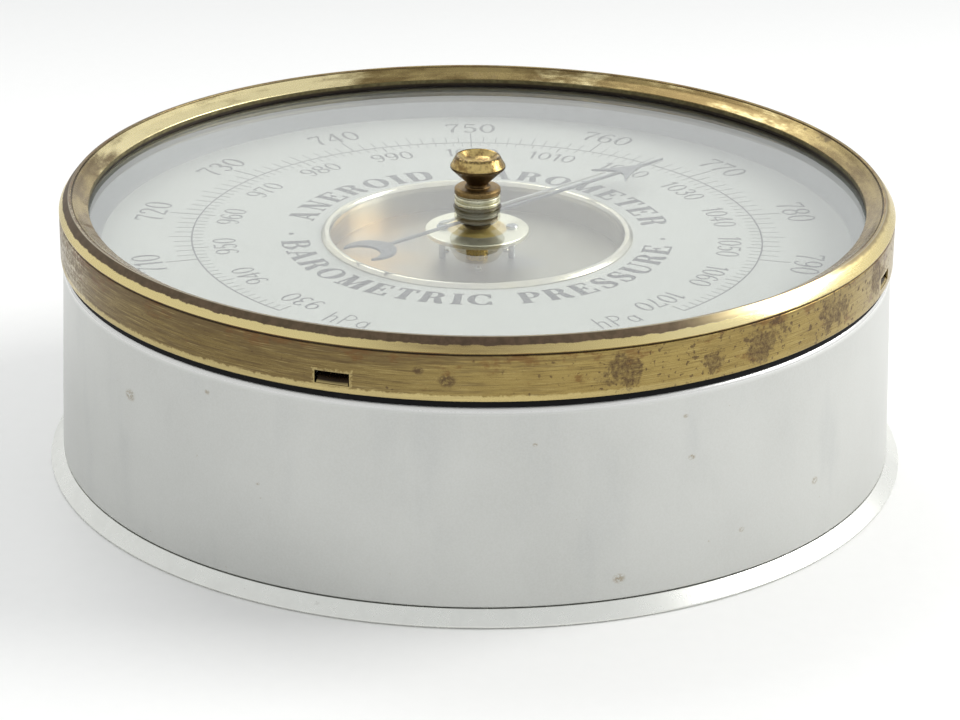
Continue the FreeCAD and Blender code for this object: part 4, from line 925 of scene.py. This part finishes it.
class Print:
    """Thin raised ink on the dial, gathered into one mesh."""
    THICK = 0.02
    STEP = 0.0015         # each stroke lies a little higher than the last, so none share a face
    LETTER_GAP = 0.06

    def __init__(self):
        self.verts = []
        self.faces = []
        self.strokes = 0

    def ribbon(self, left, right, closed=False):
        top = DIAL_TOP + self.THICK + self.STEP * (self.strokes % 5)
        self.strokes += 1
        first = len(self.verts)
        for a, b in zip(left, right):
            self.verts += [(*a, DIAL_TOP), (*b, DIAL_TOP), (*b, top), (*a, top)]
        count = len(left)
        for i in range(count if closed else count - 1):
            a, b = first + 4 * i, first + 4 * ((i + 1) % count)
            for k in range(4):
                m = (k + 1) % 4
                self.faces.append([a + k, a + m, b + m, b + k])
        for end in () if closed else (first, first + 4 * (count - 1)):
            self.faces.append([end, end + 1, end + 2, end + 3])

    def arc(self, radius, start, end, width, steps):
        """Line round the dial between two clockwise angles."""
        angles = [start + (end - start) * k / steps for k in range(steps + 1)]
        self.ribbon(*([on_dial(radius + side * width / 2, a) for a in angles] for side in (-1, 1)))

    def tick(self, degrees, low, high, width):
        self.ribbon(*([on_dial(radius, degrees + side * math.degrees(width / 2 / radius))
                       for radius in (low, high)] for side in (-1, 1)))

    def word(self, text, letters, height, degrees, base, outward=True, span=None):
        """Text centred on an angle. Its tops point outwards, or inwards for the lower arc.

        A span in degrees spreads the letters over it.
        """
        widths = [letters[letter][0] for letter in text]
        way = 1 if outward else -1
        middle = base + way * height / 2
        gap = self.LETTER_GAP
        if span:
            gap = (math.radians(span) * middle / height - sum(widths)) / (len(text) - 1)
        at = -(sum(widths) + gap * (len(text) - 1)) / 2
        for letter, width in zip(text, widths):
            for *sides, closed in letters[letter][1]:
                self.ribbon(*([on_dial(base + way * y * height,
                                       degrees + way * math.degrees((at + x) * height / middle))
                               for x, y in side] for side in sides), closed)
            at += width + gap

    def dot(self, radius, degrees, size):
        """Round point, as a ring whose middle is closed but for a speck."""
        x, y = on_dial(radius, degrees)
        circle = [(math.cos(k * math.pi / 8), math.sin(k * math.pi / 8)) for k in range(16)]
        self.ribbon(*([(x + r * a, y + r * b) for a, b in circle] for r in (0.02, size)), closed=True)

    def scale(self, values, centre, turn, reaches, widths, height, base):
        """Ticks from the scale's line with a number at each ten; reaches are for 10, 5 and 1."""
        for value in values:
            rank = 0 if value % 10 == 0 else 1 if value % 5 == 0 else 2
            degrees = (value - centre) * turn
            self.tick(degrees, *sorted((SCALE_R, SCALE_R + reaches[rank])), widths[rank])
            if rank == 0:
                self.word(str(value), NUMERALS, height, degrees, base)

    def piece(self, name):
        printed = mesh_object(name, self.verts, self.faces, MATERIALS["dial_ink"], sharp=30)
        stand_for(printed, "root", "black_metal")


SCALE_R = 51.5
HPA_DEGREES = 1.969       # turn of the pointer for one hectopascal
MMHG_DEGREES = HPA_DEGREES * 1.33322
SCALE_END = 70 * HPA_DEGREES
NUMERALS = numeral(0.12, 0.065)
UNITS = numeral(0.07, 0.05)
CAPITALS = capitals(0.265, 0.08)
LEGEND_HEIGHT = 5.1


def mercury_scale():
    ink = Print()
    ink.arc(SCALE_R, -SCALE_END, SCALE_END, 0.3, 240)
    ink.scale(range(710, 791), 750, MMHG_DEGREES, (5.7, 4.2, 3.2), (0.24, 0.14, 0.14), 5.2, base=57.8)
    ink.piece("mercury_scale_print")


def pascal_scale():
    ink = Print()
    ink.scale(range(930, 1071), 1000, HPA_DEGREES, (-2.8, -2.0, -2.0), (0.2, 0.12, 0.12), 4.2, base=43.6)
    for degrees in (-152, 152):
        ink.word("hPa", UNITS, 4.6, degrees, base=50.7, outward=False)
    ink.piece("pascal_scale_print")


def legend():
    ink = Print()
    ink.word("ANEROID BAROMETER", CAPITALS, LEGEND_HEIGHT, 2.2, base=30.5, span=160)
    ink.word("BAROMETRIC PRESSURE", CAPITALS, LEGEND_HEIGHT, 182.2, base=35.6, outward=False, span=163)
    for degrees in (-90.3, 94.7):
        ink.dot(33.6, degrees, 0.5)
    ink.piece("legend_print")


mercury_scale()
pascal_scale()
legend()

for hand in ("pointer", "set_hand"):
    soften(frame["nodes"][hand], 0.06)


# ---- stage, light and camera
FLOOR_Z = -0.05           # just under the foot, so that the two faces never coincide
FLOOR_REACH = 4000.0
WALL_ELEVATION = 22       # of the middle of the brighter wall behind the object, in degrees
WALL_SPREAD = (26, 12)    # degrees from its middle where it starts and where it is full
WALL_GAIN = 0.42


def floor():
    """Plain pale sheet the barometer rests on, with painted shade that darkens it far behind."""
    s = Shade("pale_floor")
    colour = s.mix(s.noise(3), (246, 246, 245), (249, 249, 248))
    # painted shade: the sheet darkens with distance behind the object
    colour = s.fade(s.y, 40, 560, colour, (188, 189, 189))
    material = s.finish(colour, 0.75, Specular_IOR_Level=0.2)
    corners = [(x * FLOOR_REACH, y * FLOOR_REACH, FLOOR_Z) for x, y in ((-1, -1), (1, -1), (1, 1), (-1, 1))]
    mesh_object("pale_sheet", corners, [[0, 1, 2, 3]], material)


def sky():
    """Soft white surroundings with a brighter wall low down behind the object."""
    world = bpy.data.worlds.new("studio")
    world.use_nodes = True
    graph = Graph(world.node_tree)
    around = graph.node("TexCoord", output="Generated")
    ramp = graph.node("ValToRGB", graph.node("SeparateXYZ", around, output=2))
    low, high = ramp.socket.node.color_ramp.elements
    low.color = (0.895, 0.9, 0.9, 1.0)
    high.color = (0.7, 0.71, 0.715, 1.0)
    tilt = math.radians(WALL_ELEVATION)
    toward = graph.node("VectorMath", around, (0.0, math.cos(tilt), math.sin(tilt)), output="Value",
                        operation="DOT_PRODUCT")
    wall = graph.smooth(toward, *(math.cos(math.radians(spread)) for spread in WALL_SPREAD))
    background = world.node_tree.nodes["Background"]
    graph.put(background.inputs["Color"], ramp)
    graph.put(background.inputs["Strength"], 1.0 + wall * WALL_GAIN)
    bpy.context.scene.world = world


def lamp(name, azimuth, elevation, distance, size, power, colour):
    """Soft box at a polar angle and elevation, aimed at the object. Its measures are in metres."""
    light = bpy.data.lights.new(name, "AREA")
    light.shape = "RECTANGLE"
    light.size, light.size_y = size
    light.energy = power
    light.color = colour
    piece = bpy.data.objects.new(name, light)
    a, e = math.radians(azimuth), math.radians(elevation)
    piece.location = Vector((math.cos(a) * math.cos(e), math.sin(a) * math.cos(e), math.sin(e))) * distance
    aim = Vector((0, 0, 0.03)) - piece.location
    piece.rotation_euler = aim.to_track_quat("-Z", "Y").to_euler()
    bpy.context.scene.collection.objects.link(piece)


CAMERA_LENS = 127.35
CAMERA_SENSOR = 36.0
CAMERA_AZIMUTH = -91.5    # polar angle of the side that faces the camera
CAMERA_ELEVATION = 22.14
CAMERA_DISTANCE = 624.3
CAMERA_AIM_Z = 16.07
CAMERA_YAW = 0.07
CAMERA_ROLL = 0.57


def camera():
    data = bpy.data.cameras.new("camera")
    data.lens = CAMERA_LENS
    data.sensor_width = CAMERA_SENSOR
    data.clip_start = 0.01
    piece = bpy.data.objects.new("camera", data)
    elevation = math.radians(CAMERA_ELEVATION)
    level = Matrix.Rotation(math.radians(CAMERA_AZIMUTH + 90), 4, "Z")
    place = Matrix.Translation(Vector((0, -math.cos(elevation) * CAMERA_DISTANCE,
                                       CAMERA_AIM_Z + math.sin(elevation) * CAMERA_DISTANCE)) * MM)
    tilt = Matrix.Rotation(math.pi / 2 - elevation, 4, "X")
    yaw = Matrix.Rotation(math.radians(-CAMERA_YAW), 4, "Y")
    roll = Matrix.Rotation(math.radians(CAMERA_ROLL), 4, "Z")
    piece.matrix_world = level @ place @ tilt @ yaw @ roll
    bpy.context.scene.collection.objects.link(piece)
    bpy.context.scene.camera = piece


floor()
sky()
lamp("window_light", 12, 36, distance=1.7, size=(0.9, 0.8), power=15.8, colour=(1.0, 0.99, 0.97))
lamp("back_light", 112, 50, distance=1.8, size=(0.8, 0.8), power=5.5, colour=(0.98, 0.99, 1.0))
camera()
bpy.context.scene.view_settings.view_transform = "Standard"
